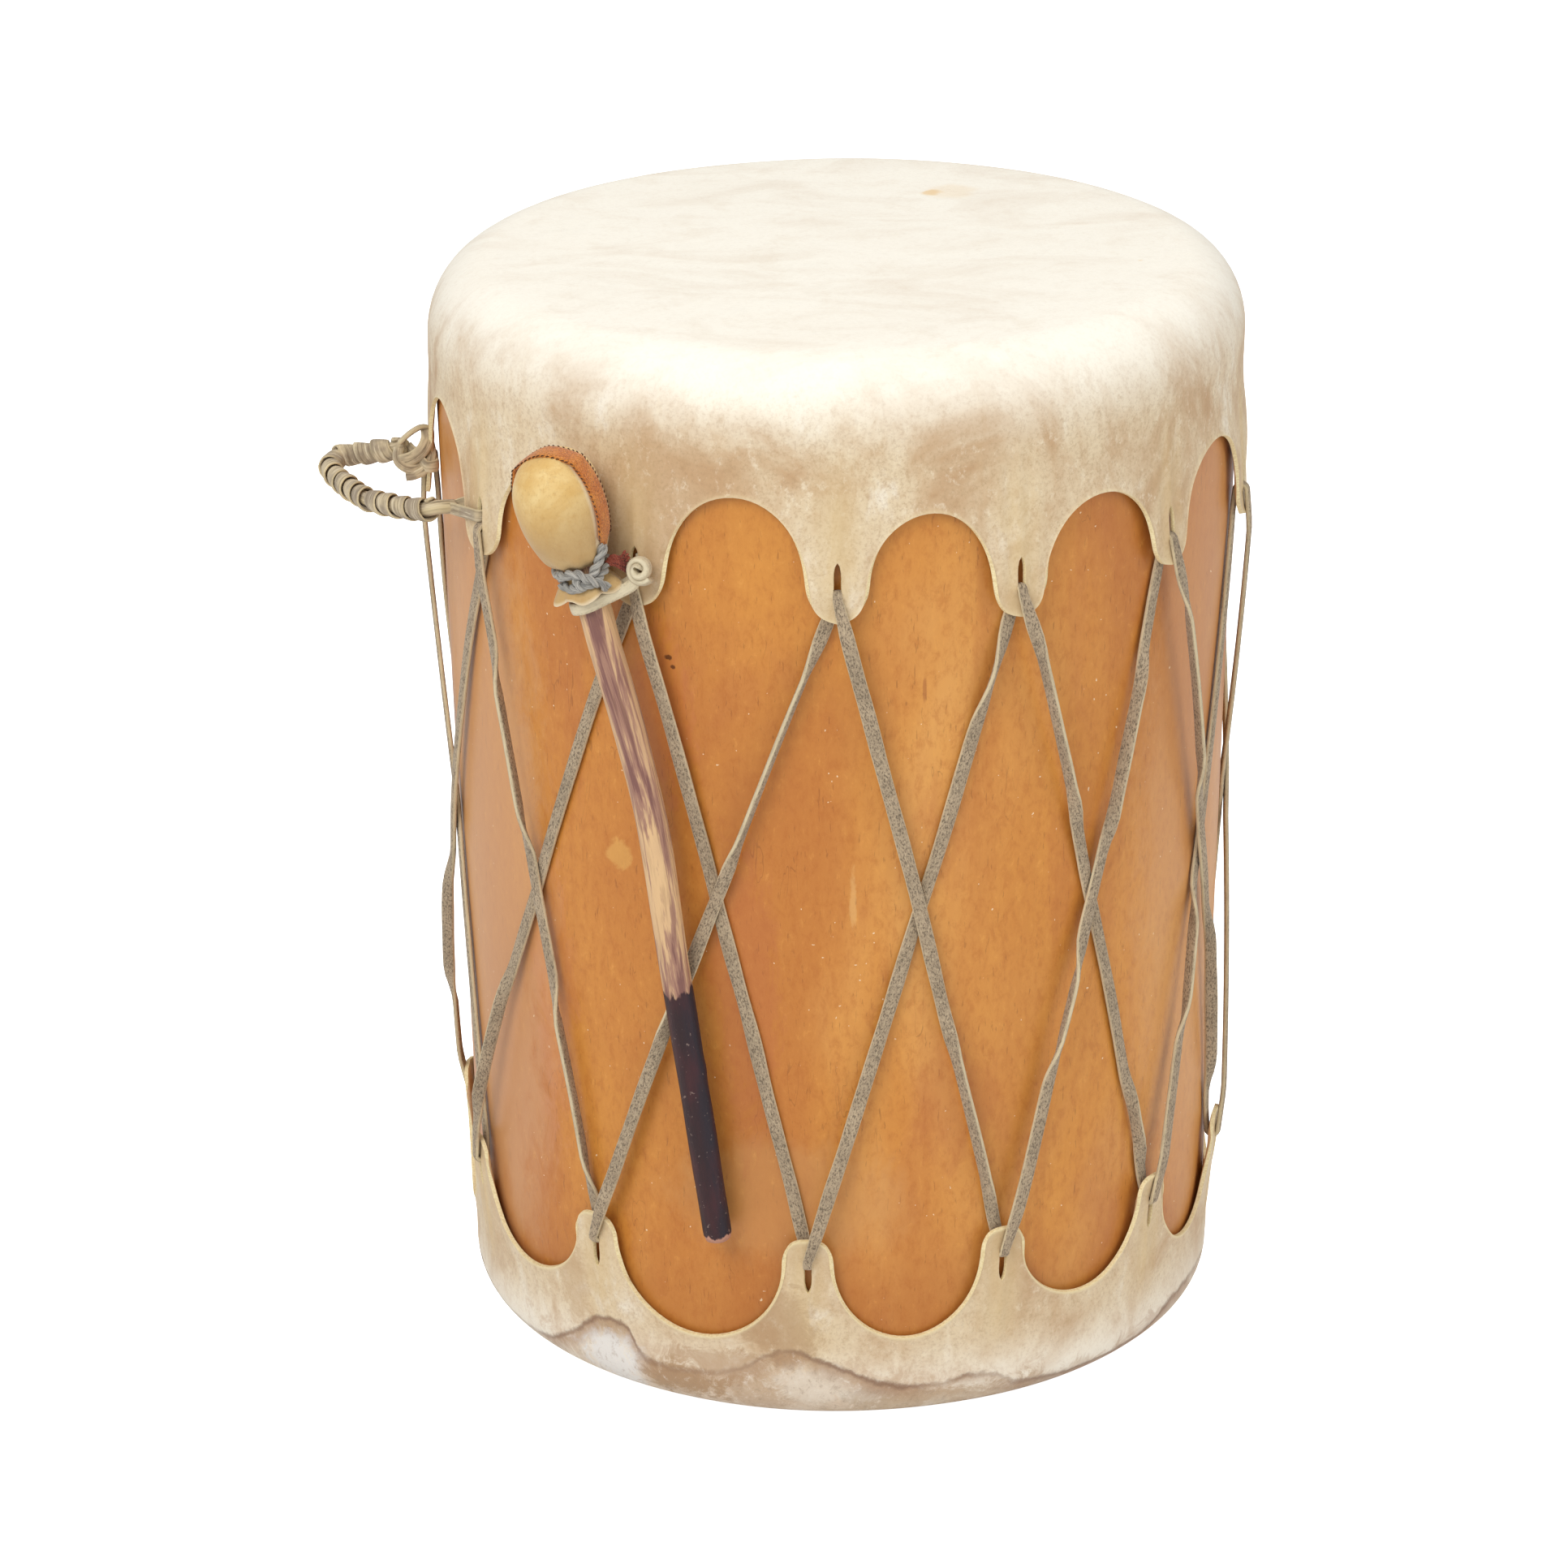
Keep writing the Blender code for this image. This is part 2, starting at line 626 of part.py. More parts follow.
def make_beater_pad():
    bore = (STICK[0][1] + GAP) / math.cos(math.pi / PAD_SIDES)
    outside = pad_outline()
    frill = [(bore, -TIE_GROOVE - FRILL_THICKNESS),
             (FRILL_RADIUS - FRILL_LIP, -FRILL_DROP - FRILL_THICKNESS / 2),
             (FRILL_RADIUS, -FRILL_DROP + FRILL_THICKNESS / 2)]
    outline = [(0, STICK_IN_PAD), (bore, STICK_IN_PAD), *frill, *outside]
    cover = finish("buckskin", 219, 186, 122, 0.75)
    pad = turned("beater_pad", outline, PAD_SIDES, False, cover)
    pad.matrix_world = beater_place()
    return pad


def make_gusset():
    """A strip sewn over the padded end, in the plane of its axis and GUSSET_SIDE."""
    axis = beater_axis()
    side = (GUSSET_SIDE - axis * axis.dot(GUSSET_SIDE)).normalized()
    off = GAP + GUSSET_THICKNESS / 2
    shoulder = [(radius, rise) for radius, rise in pad_outline()[4:-1]]
    top = pad_outline()[-1][1]
    points = []
    for way, line in ((1, shoulder), (-1, list(reversed(shoulder)))):
        for radius, rise in line:
            out = Vector((radius, rise - top * 0.5)).normalized() * (off + GUSSET_CLEARANCE)
            points.append(NECK + side * way * (radius + out.x) + axis * (rise + out.y))
        if way == 1:
            points.append(NECK + axis * (top + off))
    across = axis.cross(side)
    return strap("beater_gusset", points, GUSSET_WIDTH, GUSSET_THICKNESS,
                 finish("rust suede", 188, 106, 42, 0.95), facing=across)


def make_stick():
    axis = beater_axis()
    inner = [NECK + axis * (STICK_IN_PAD - GAP), NECK + axis * STICK_IN_PAD / 3, NECK]
    route = [(point, STICK[0][1]) for point in inner] + STICK
    points = [stop[0] for stop in route]
    outline = [(math.cos(math.tau * k / STICK_SIDES), math.sin(math.tau * k / STICK_SIDES))
               for k in range(STICK_SIDES)]
    rings = section_rings(points, [Vector((0, -1, 0))] * len(points), outline,
                          [(radius, radius) for _, radius in route])
    return skinned("beater_stick", rings, material=finish("beater wood", 150, 112, 84, 0.6))


def make_neck_tie():
    """The cord that binds the pad on the stick, with its knot."""
    major = NECK_RADIUS + GAP + TIE_CORD_RADIUS
    outline = [(major + TIE_CORD_RADIUS * math.cos(math.tau * k / TIE_SIDES),
                TIE_CORD_RADIUS * math.sin(math.tau * k / TIE_SIDES)) for k in range(TIE_SIDES)]
    tie = turned("neck_tie", outline, PAD_SIDES, True, finish("tie cord", 142, 136, 126, 0.9))
    tie.matrix_world = beater_place()
    front = Vector((0.35, -1, 0)).normalized()
    place = NECK + front * (major + TIE_KNOT_OUT)
    combine(tie, lump("tie knot", place, TIE_KNOT, front, 6), "UNION")
    return tie


def make_hanging_loop():
    """The thong that holds the beater: a noose on the stick, a button knot and its tuck."""
    first, stick_radius = STICK[0]
    axis = (NECK - first).normalized()
    centre = NECK - axis * LOOP_DROP
    flats = math.cos(math.radians(LOOP_ARC / LOOP_STEPS / 2))
    radius = (stick_radius + GAP) / flats + LOOP_THICKNESS / 2
    reach = BUTTON - centre
    side = (reach - axis * axis.dot(reach)).normalized()
    front = axis.cross(side)
    points = []
    for step in range(LOOP_STEPS + 1):
        angle = math.radians(180 - LOOP_ARC / 2 + LOOP_ARC * step / LOOP_STEPS)
        rise = axis * (LOOP_TILT * radius * math.cos(angle))
        points.append(centre + (side * math.cos(angle) + front * math.sin(angle)) * radius + rise)
    points.append(BUTTON)
    loop = strap("beater_loop", points, LOOP_WIDTH, LOOP_THICKNESS,
                 finish("loop thong", 190, 175, 145, 0.85), closed=True, facing=axis)
    azimuth = TOP_TABS[BEATER_TAB][0]
    facing = outward(azimuth + BUTTON_TURN)
    size = (2 * BUTTON_RADIUS, BUTTON_THICKNESS, 2 * BUTTON_RADIUS)
    button = lump("button knot", BUTTON, size, facing)
    combine(loop, button, "UNION")
    depth = TOP.slit_depth(BEATER_TAB) - STRAP_RISE
    height = TOP.height(depth)
    middle = TOP.mid_skin(depth)
    behind = GAP + LOOP_THICKNESS / 2
    tuck = [BUTTON, on_wood(azimuth, middle + STEM_STRAIGHT, height),
            on_wood(azimuth, middle, height), on_wood(azimuth, behind + GAP, height + GAP),
            on_wood(azimuth, behind, height + LOOP_TUCK)]
    across = UP.cross(facing)
    stem = strap("loop stem", tuck, STEM_WIDTH, LOOP_THICKNESS, facing=across)
    combine(loop, stem, "UNION")
    return loop


def main():
    clear_scene()
    make_log()
    make_head(TOP, "top_head", (HANDLE_FRONT_TAB, HANDLE_BACK_TAB, BEATER_TAB),
              finish("drumhead rawhide", 240, 231, 210, 0.6))
    make_head(BOTTOM, "bottom_head", (), finish("base rawhide", 222, 209, 184, 0.65))
    make_lace()
    make_handle()
    make_stick()
    make_beater_pad()
    make_gusset()
    make_neck_tie()
    make_hanging_loop()


main()
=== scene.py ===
"""The finished look of a ceremonial log drum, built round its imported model.

Rawhide heads laced together over a hollowed log, a thong-wrapped handle and a
padded beater. Metres, +Z up. An azimuth is in degrees, 0 at -Y (the front)
and growing towards +X. A depth is measured from the end that a head covers.
"""

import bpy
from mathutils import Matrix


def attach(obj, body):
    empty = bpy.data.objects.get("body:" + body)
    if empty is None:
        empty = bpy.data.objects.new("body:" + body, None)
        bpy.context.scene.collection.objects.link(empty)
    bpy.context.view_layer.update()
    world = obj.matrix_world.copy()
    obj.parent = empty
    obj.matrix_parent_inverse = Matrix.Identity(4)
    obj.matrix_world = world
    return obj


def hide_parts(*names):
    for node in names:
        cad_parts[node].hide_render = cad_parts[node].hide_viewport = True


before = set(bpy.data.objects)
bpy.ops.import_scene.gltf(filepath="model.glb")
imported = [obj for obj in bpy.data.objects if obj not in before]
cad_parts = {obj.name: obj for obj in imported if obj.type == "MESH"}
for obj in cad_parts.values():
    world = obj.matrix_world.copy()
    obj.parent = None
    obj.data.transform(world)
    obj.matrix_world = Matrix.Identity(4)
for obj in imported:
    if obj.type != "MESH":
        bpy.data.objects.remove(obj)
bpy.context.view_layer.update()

import math
import random

import bmesh
import bpy
from bpy.props import FloatProperty, FloatVectorProperty, IntProperty, PointerProperty
from mathutils import Matrix, Vector, noise

bl_info = {
    "name": "Ceremonial Log Drum",
    "version": (1, 0, 0),
    "blender": (4, 5, 0),
    "location": "View3D > Sidebar > Log Drum",
    "description": "Builds a laced log drum with rawhide heads, a handle and a beater",
    "category": "Object",
}

MM = 0.001
GAP = 0.3 * MM                      # between pieces that touch
MERGE = 0.002 * MM                  # points nearer than this are one
UP = Vector((0, 0, 1))

# Each tab: azimuth, width, depth of its tip, depth of the scallop after it, in mm
TOP_TABS = (
    (-87.0, 24, 106, 49), (-57.5, 27, 106, 57), (-27.9, 24, 108, 55), (0.0, 22, 109, 62),
    (25.0, 21, 112, 65), (51.5, 22, 107, 62), (79.0, 23, 110, 60), (106.9, 22, 108, 58),
    (134.7, 24, 106, 61), (162.6, 22, 110, 57), (190.4, 23, 108, 60), (218.3, 21, 111, 58),
    (246.1, 23, 107, 56),
)
BOTTOM_TABS = (
    (-98.0, 22, 91, 44), (-70.0, 20, 92, 47), (-38.5, 20, 88, 39), (-4.8, 18, 92, 42),
    (24.0, 17, 91, 49), (52.5, 17, 91, 46), (79.0, 18, 91, 45), (105.1, 20, 89, 46),
    (131.3, 19, 92, 43), (157.4, 20, 90, 45), (183.6, 18, 91, 44), (209.7, 21, 88, 46),
    (235.9, 19, 91, 43),
)
TABS = len(TOP_TABS)
STRAP_TABS = (0, 1, 2)              # top tabs that a thong goes through above the lace
SLIT_TO_TIP = 10.5 * MM             # from the laced end of a slit to the tab's tip
STRAP_RISE = 6.5 * MM               # a thong's middle above the laced end of the slit
LACE_START = 9                      # the top tab, at the back, where the lace is knotted
OVER_AT_RISING = (0, 2, 4, 6, 8, 10, 12)   # tabs after which the rising strand is on top

# Where a strand turns on edge: does it fall, the tab it leaves, from and to a share, degrees
LACE_TWISTS = (
    (True, 1, 0.15, 0.46, 60), (True, 1, 0.62, 0.96, 70), (True, 3, 0.62, 0.96, 58),
    (True, 4, 0.03, 0.38, 76), (True, 4, 0.78, 0.96, 70), (True, 5, 0.05, 0.42, -60),
    (True, 5, 0.60, 0.94, 60), (False, 1, 0.06, 0.36, 60), (False, 2, 0.30, 0.45, 60),
    (False, 2, 0.57, 0.96, 76), (False, 3, 0.80, 0.96, 60), (False, 4, 0.24, 0.46, 74),
    (False, 4, 0.57, 0.86, -76), (False, 5, 0.22, 0.46, 65), (False, 0, 0.15, 0.44, 60),
    (True, 7, 0.20, 0.45, 60), (False, 8, 0.57, 0.85, -60), (True, 10, 0.10, 0.40, 60),
    (False, 11, 0.57, 0.90, 64),
)

# How far a head's rows lie from its cut edge, in mm, on a tab's middle line, which of them
# a slit runs between, and how far it opens there to each side
EDGE_ROWS = (0, 0.7, 1.6, 3, 5, 7.4, 9.6, 10.4, 12, 14.2, 16.8, 19.4, 22, 24.4, 26.2, 28.5, 31.5,
             35.5, 40, 46, 52, 58, 64)
SLIT_ROWS = (6, 14)
SLIT_OPEN = (0, 1.5, 1.9, 1.8, 1.75, 1.8, 1.65, 1.15, 0)
SLIT_REACH = 7                      # columns to each side that give way to an open slit
EDGE_KEPT = 3 * MM                  # rows this near the cut edge keep their distance from it
STEPS = 60                          # columns of a head from tab to tab
DISC_ROWS, RIM_ROWS = 7, 14

# Marks on the drum: (azimuth, height in mm), (half its angle, half its height), strength, colour.
# The wood's table also holds painted sheen.
WOOD_MARKS_AND_SHEEN = (
    ((-33, 260), (1.8, 6), 0.4, (232, 184, 100)), ((2, 250), (0.5, 12), 0.3, (236, 196, 130)),
    ((12, 343), (0.35, 6), 0.5, (150, 78, 40)), ((-26, 330), (5, 34), 0.3, (196, 112, 74)),
    # The two rows on the next line, wide and pale at azimuths -66 and 66, are painted sheen: a
    # painted reflection down the log's sides.
    ((-66, 230), (17, 190), 0.46, (216, 170, 124)), ((66, 250), (16, 190), 0.3, (222, 172, 122)),
    ((-8, 108), (16, 26), 0.38, (210, 156, 96)), ((-14, 205), (5, 55), 0.3, (186, 104, 62)),
    ((17, 150), (6, 26), 0.28, (180, 100, 52)), ((38, 250), (6, 40), 0.25, (184, 104, 46)),
    ((-47, 190), (4, 60), 0.25, (204, 130, 92)), ((-24, 354), (0.5, 1.2), 0.8, (70, 36, 20)),
    ((-23.4, 350), (0.4, 0.9), 0.8, (70, 36, 20)),
)
BASE_MARKS = (
    ((-15, 12), (34, 16), 0.55, (196, 164, 130)), ((-37, 16), (6, 12), 0.9, (232, 229, 224)),
    ((-25, 15), (7, 8), 0.85, (172, 138, 100)), ((-18, 26), (7, 7), 0.65, (186, 154, 120)),
    ((-12, 14), (7, 8), 0.5, (180, 148, 112)), ((-4, 19), (6, 9), 0.75, (226, 214, 196)),
    ((4, 13), (4, 6), 0.5, (196, 184, 168)), ((14, 8), (14, 8), 0.6, (192, 166, 132)),
    ((33, 5), (18, 7), 0.5, (196, 172, 146)), ((-9, 48), (5, 16), 0.5, (176, 142, 104)),
    ((-44, 48), (3, 18), 0.45, (190, 156, 114)), ((62, 9), (14, 9), 0.5, (184, 150, 120)),
)
# The brown crease line round the foot: azimuth and height in mm
CREASE_LINE = (
    (-180, 14), (-150, 22), (-120, 12), (-90, 20), (-60, 10), (-46.2, 20.7), (-40.2, 33),
    (-35.9, 36), (-32.8, 28), (-28, 20), (-22, 21), (-16.6, 24), (-10.8, 33), (-7.5, 36),
    (-4.4, 33), (0.2, 28), (7.6, 19.5), (15.5, 17.5), (19.1, 20), (27.7, 11), (40.3, 8),
    (50.9, 8.5), (62.7, 17.5), (73.7, 19), (95, 12), (120, 24), (150, 12), (180, 14),
)
LINE_FULL = 50                      # mm that a full share of the crease line's curve stands for
# Yellow stains on the drumhead: place, radius, strength
HEAD_STAINS = (((0.0425, 0.0917), 0.006, 0.6), ((0.052, 0.0933), 0.015, 0.22),
               ((0.131, -0.0224), 0.0022, 0.4))

# Middle lines, in mm
HANDLE_ROUTE = (
    (-163.7, -78.8, 394.5), (-170.0, -82.5, 395.5), (-176.5, -81.5, 394.0), (-184.5, -75.5, 393.0),
    (-193.0, -68.0, 392.0), (-202.8, -56.5, 391.0), (-211.8, -40.5, 391.0), (-218.3, -28.0, 392.2),
    (-221.2, -18.5, 393.2), (-219.0, -11.0, 394.8), (-213.0, -9.5, 396.0), (-205.5, -12.0, 397.5),
    (-196.5, -15.5, 400.0), (-187.5, -19.0, 402.5),
)
STICK_ROUTE = (
    (-99.2, -164.4, 372.5), (-79.2, -171.0, 290.1), (-68.6, -171.3, 209.0),
    (-60.8, -170.5, 152.1), (-52.9, -170.0, 92.4),
)
NECK = Vector((-105.4, -163.5, 395.0)) * MM
HEAD_TOP = Vector((-120.0, -165.0, 446.0)) * MM
BUTTON = Vector((-80.8, -168.6, 396.2)) * MM
STRIP_SIDE = Vector((0.9, -0.42, 0.0))

# Turns of the knot behind the handle: width, then places along, out from and above its middle
KNOT_TURNS = (
    (4.6, ((1, 8, 2), (2, 4, 6), (1, -1, 8.5), (-1, -4, 7), (-4, -5, 2), (-5, -4, -3),
           (-2, -1, -6))),
    (6.0, ((3, 8, -6), (5, 3, -4), (5.5, -1.5, -0.5), (3, -4, 4), (-1, -4, 8))),
    (4.8, ((-1, 8.5, -1), (3, 9, -5.5), (5, 5, -8.5), (4, 0, -8), (1, -3, -5), (-2, -4, 0))),
    (4.2, ((0, -5, 1), (4, -5.5, -4), (6, -2.5, -9), (6, 2, -11.5), (5.5, 6, -12.2))),
)
# Cords over the front of the tie: radius, then places across, out from and above the neck
TIE_CORDS = (
    (2.1, ((-10.2, 2.5, 0.5), (-8, 9.5, 2.8), (-3.5, 12.6, 2.6), (0.5, 14.3, -0.6), (4, 13.6, -3.6),
           (7.0, 11.8, -7.5))),
    (2.1, ((-10.2, 3.0, -2.6), (-6, 10.5, -4.0), (-1.5, 12.0, -2.4), (2.5, 12.3, 0.4),
           (6.5, 12.2, 4.6), (11.0, 11.0, 10.5))),
    (1.9, ((10.4, 2.0, 0.8), (8.5, 8.0, -0.5), (3.5, 12.2, -2.6), (-2.0, 13.2, -3.4),
           (-4.8, 12.4, -1.0), (-3, 11.5, 1.5))),
)


# Settings


def srgb(red, green, blue):
    """A colour given in sRGB values from 0 to 255."""
    return (*(((value / 255 + 0.055) / 1.055) ** 2.4 for value in (red, green, blue)), 1)


def length(name, description, default):
    return FloatProperty(name=name, description=description, default=default, min=0.0,
                         unit="LENGTH", subtype="DISTANCE")


def colour(name, description, *shade):
    return FloatVectorProperty(name=name, description=description, default=srgb(*shade), size=4,
                               min=0.0, max=1.0, subtype="COLOR")


class DrumSizes(bpy.types.PropertyGroup):
    height: length("Height", "Drum height over both heads", 0.485)
    radius_bottom: length("Bottom radius", "Radius of the log's side at the base", 0.1656)
    radius_top: length("Top radius", "Radius of the log's side at the top", 0.1766)
    wall: length("Wall", "Thickness of the hollowed log", 0.027)
    skin: length("Rawhide", "Thickness of the dried hide", 0.0018)
    lace_width: length("Lace width", "Width of the flat lace", 0.006)
    lace_neck: length("Lace neck", "Width of the lace where a slit pinches it", 0.0042)
    lace_thickness: length("Lace thickness", "Thickness of the flat lace", 0.0024)
    wrap_radius: length("Handle radius", "Radius over the handle's wraps", 0.0049)
    pad_radius: length("Pad radius", "Radius of the beater's padded end", 0.0186)
    wraps: IntProperty(name="Wraps", description="Turns of thong round the handle", default=14,
                       min=4)


class DrumColours(bpy.types.PropertyGroup):
    wood: colour("Wood", "Varnished log", 214, 144, 62)
    wood_dark: colour("Dark wood", "Reddish zones and grain of the log", 190, 117, 51)
    wood_light: colour("Light wood", "Pale zones of the log", 226, 168, 96)
    hide: colour("Hide", "Drumhead rawhide", 250, 244, 230)
    hide_skirt: colour("Skirt", "Rawhide of the skirts", 224, 204, 170)
    hide_tan: colour("Tan", "Tan blotches of the rawhide", 194, 158, 118)
    hide_edge: colour("Cut edge", "Cut edge of the rawhide", 240, 224, 178)
    lace: colour("Lace", "Suede side of the lace", 160, 142, 118)
    lace_edge: colour("Lace edge", "Cut sides of the lace", 216, 200, 164)
    buckskin: colour("Buckskin", "Cover of the beater", 214, 174, 104)
    suede: colour("Rust suede", "Strip sewn round the beater", 198, 112, 40)
    bark: colour("Bark", "Bark left on the stick", 44, 22, 26)
    peeled: colour("Peeled stick", "Peeled part of the stick", 206, 168, 128)


def sizes():
    return bpy.context.scene.drum_sizes


def colours():
    return bpy.context.scene.drum_colours


def given(thing, **settings):
    """A thing with its attributes set."""
    for key, value in settings.items():
        setattr(thing, key, value)
    return thing


# Places on the drum


def wood_radius(height):
    s = sizes()
    return s.radius_bottom + (s.radius_top - s.radius_bottom) * height / s.height


def outward(azimuth):
    angle = math.radians(azimuth)
    return Vector((math.sin(angle), -math.cos(angle), 0))


def on_wood(azimuth, out, height):
    """The point at a distance out from the wood's side."""
    return outward(azimuth) * (wood_radius(height) + out) + UP * height


def degrees_along(span, height):
    return math.degrees(span / wood_radius(height))


def turned_by(place, span):
    """A place moved round the drum's axis by a span."""
    return Matrix.Rotation(span / math.hypot(place.x, place.y), 4, "Z") @ place


def towards(first, second, angle):
    """The direction at an angle from one unit direction towards another."""
    return first * math.cos(angle) + second * math.sin(angle)


def placer(origin, *axes):
    """A function that gives the point at spans in mm along these axes from origin."""
    return lambda *spans: origin + sum((axis * span for axis, span in zip(axes, spans)),
                                       Vector((0, 0, 0))) * MM


def smooth(share):
    share = min(max(share, 0), 1)
    return share * share * (3 - 2 * share)


def wobble(point, scale, amount):
    """Soft unevenness: a smooth random number for a place."""
    return noise.noise(Vector(point) * scale) * amount


class Head:
    """One rawhide head: way is 1 at the top of the drum and -1 at its bottom."""

    def __init__(self, way, edge, flare_depth, tabs):
        self.way = way
        self.edge = [value * MM for value in edge]
        self.flare_depth = flare_depth * MM
        self.tabs = [(azimuth, *(value * MM for value in rest)) for azimuth, *rest in tabs]
        self.first_slit_depth = min(tab[2] for tab in self.tabs) - SLIT_TO_TIP

    def height(self, depth):
        return sizes().height - depth if self.way > 0 else depth

    def rim_end(self):
        return sizes().skin + GAP + self.edge[1]

    def lift(self, depth):
        """How far the inside of the skirt stands off the wood."""
        full = 2 * GAP + sizes().lace_thickness + 0.45 * MM
        share = (depth - self.flare_depth) / (self.first_slit_depth - self.flare_depth)
        return GAP + (full - GAP) * max(share, 0)

    def slit(self, index, rise=0.0):
        """Where a slit is: azimuth, height and how far out the middle of its hide lies."""
        azimuth, _, tip = self.tabs[index][:3]
        depth = tip - SLIT_TO_TIP - rise
        return azimuth, self.height(depth), self.lift(depth) + sizes().skin / 2

    def rim(self, share, off):
        """(radius, height) on the rounded edge, from the flat end at 0 to the side at 1."""
        across, down = self.edge
        corner = wood_radius(self.height(down + sizes().skin)) - across
        angle = math.pi / 2 * share
        depth = self.rim_end() - (down + off) * math.cos(angle)
        return corner + (across + off) * math.sin(angle), self.height(depth)


TOP = Head(1, (26, 30), 47, TOP_TABS)
BOTTOM = Head(-1, (17, 17), 34, BOTTOM_TABS)


# Materials


class Finish:
    """A material whose colour, the paint laid on so far, and relief come from nodes."""

    def __init__(self, name, roughness, specular=0.5, **constants):
        self.material = bpy.data.materials.new(name)
        self.material.use_nodes = True
        self.tree = self.material.node_tree
        self.shader = self.tree.nodes["Principled BSDF"]
        self.shader.inputs["Roughness"].default_value = roughness
        self.shader.inputs["Specular IOR Level"].default_value = specular
        for socket, value in constants.items():
            self.shader.inputs[socket.replace("_", " ").title()].default_value = value
        self.place = self.add("ShaderNodeTexCoord").outputs["Object"]
        self.paint = None

    def add(self, kind, inputs=(), **settings):
        node = given(self.tree.nodes.new(kind), **settings)
        for socket, value in dict(inputs).items():
            self.feed(node.inputs[socket], value)
        return node

    def feed(self, socket, value):
        if isinstance(value, bpy.types.NodeSocket):
            self.tree.links.new(value, socket)
        else:
            socket.default_value = value

    def attribute(self, name, output="Fac"):
        return self.add("ShaderNodeAttribute", attribute_name=name).outputs[output]

    def split(self, vector):
        return self.add("ShaderNodeSeparateXYZ", {0: vector}).outputs

    def math(self, operation, first, second=0.0):
        return self.add("ShaderNodeMath", {0: first, 1: second}, operation=operation).outputs[0]

    def times(self, first, second):
        return self.math("MULTIPLY", first, second)

    def plus(self, first, second):
        return self.math("ADD", first, second)

    def less(self, first, second):
        return self.math("SUBTRACT", first, second)

    def far(self, across, along):
        """The distance that two legs at right angles span."""
        return self.math("SQRT", self.plus(self.times(across, across), self.times(along, along)))

    def noise(self, scale, detail=4.0, stretch=(1, 1, 1), place=None, rough=0.55, swirl=0.0):
        place = self.add("ShaderNodeMapping", {"Vector": place or self.place, "Scale": stretch})
        return self.add("ShaderNodeTexNoise", {
            "Vector": place.outputs[0], "Scale": scale, "Detail": detail, "Roughness": rough,
            "Distortion": swirl}).outputs["Fac"]

    def ragged(self, amount, *pattern, **more):
        """A noise pattern about zero."""
        return self.times(self.less(self.noise(*pattern, **more), 0.5), amount)

    def span(self, value, low, high, least=0.0, most=1.0):
        """value from low to high, made a smooth share from least to most."""
        return self.add("ShaderNodeMapRange", {
            "Value": value, "From Min": low, "From Max": high, "To Min": least, "To Max": most,
        }, interpolation_type="SMOOTHSTEP").outputs["Result"]

    def mix(self, share, first, second):
        """Two colours mixed: each is three sRGB values, four linear ones or a socket."""
        node = self.add("ShaderNodeMix", data_type="RGBA")
        for socket, value in zip(("Factor", "A", "B"), (share, first, second)):
            if isinstance(value, tuple) and len(value) == 3:
                value = srgb(*value)
            self.feed(node.inputs[socket], value)
        return node.outputs["Result"]

    def lay(self, share, shade):
        """Lay a shade over the paint: three sRGB values, a colour setting or a socket."""
        self.paint = self.mix(share, self.paint, shade)

    def bands(self, *rows, weight=None):
        """Lay a shade where a pattern runs from low to high: (pattern, low, high, most, shade)."""
        for pattern, low, high, most, shade in rows:
            share = self.span(pattern, low, high, 0, most)
            self.lay(self.times(share, weight) if weight else share, shade)

    def marks(self, rows, ragged, steady=360):
        """Lay soft-edged patches round the drum, less ragged where wider than steady degrees."""
        x, y, z = self.split(self.place)
        azimuth = self.math("ARCTAN2", x, self.times(y, -1.0))
        for (degrees, level), (wide, tall), share, shade in rows:
            across = self.math("DIVIDE", self.less(azimuth, math.radians(degrees)),
                               math.radians(wide))
            along = self.math("DIVIDE", self.less(z, level * MM), tall * MM)
            edge = self.plus(self.far(across, along), self.times(ragged, min(1, steady / wide)))
            self.lay(self.times(self.span(edge, 1.35, 0.75), share), shade)

    def bump(self, height, strength, distance):
        normal = self.add("ShaderNodeBump", {
            "Height": height, "Strength": strength, "Distance": distance}).outputs[0]
        self.feed(self.shader.inputs["Normal"], normal)

    def done(self):
        self.feed(self.shader.inputs["Base Color"], self.paint)
        return self.material


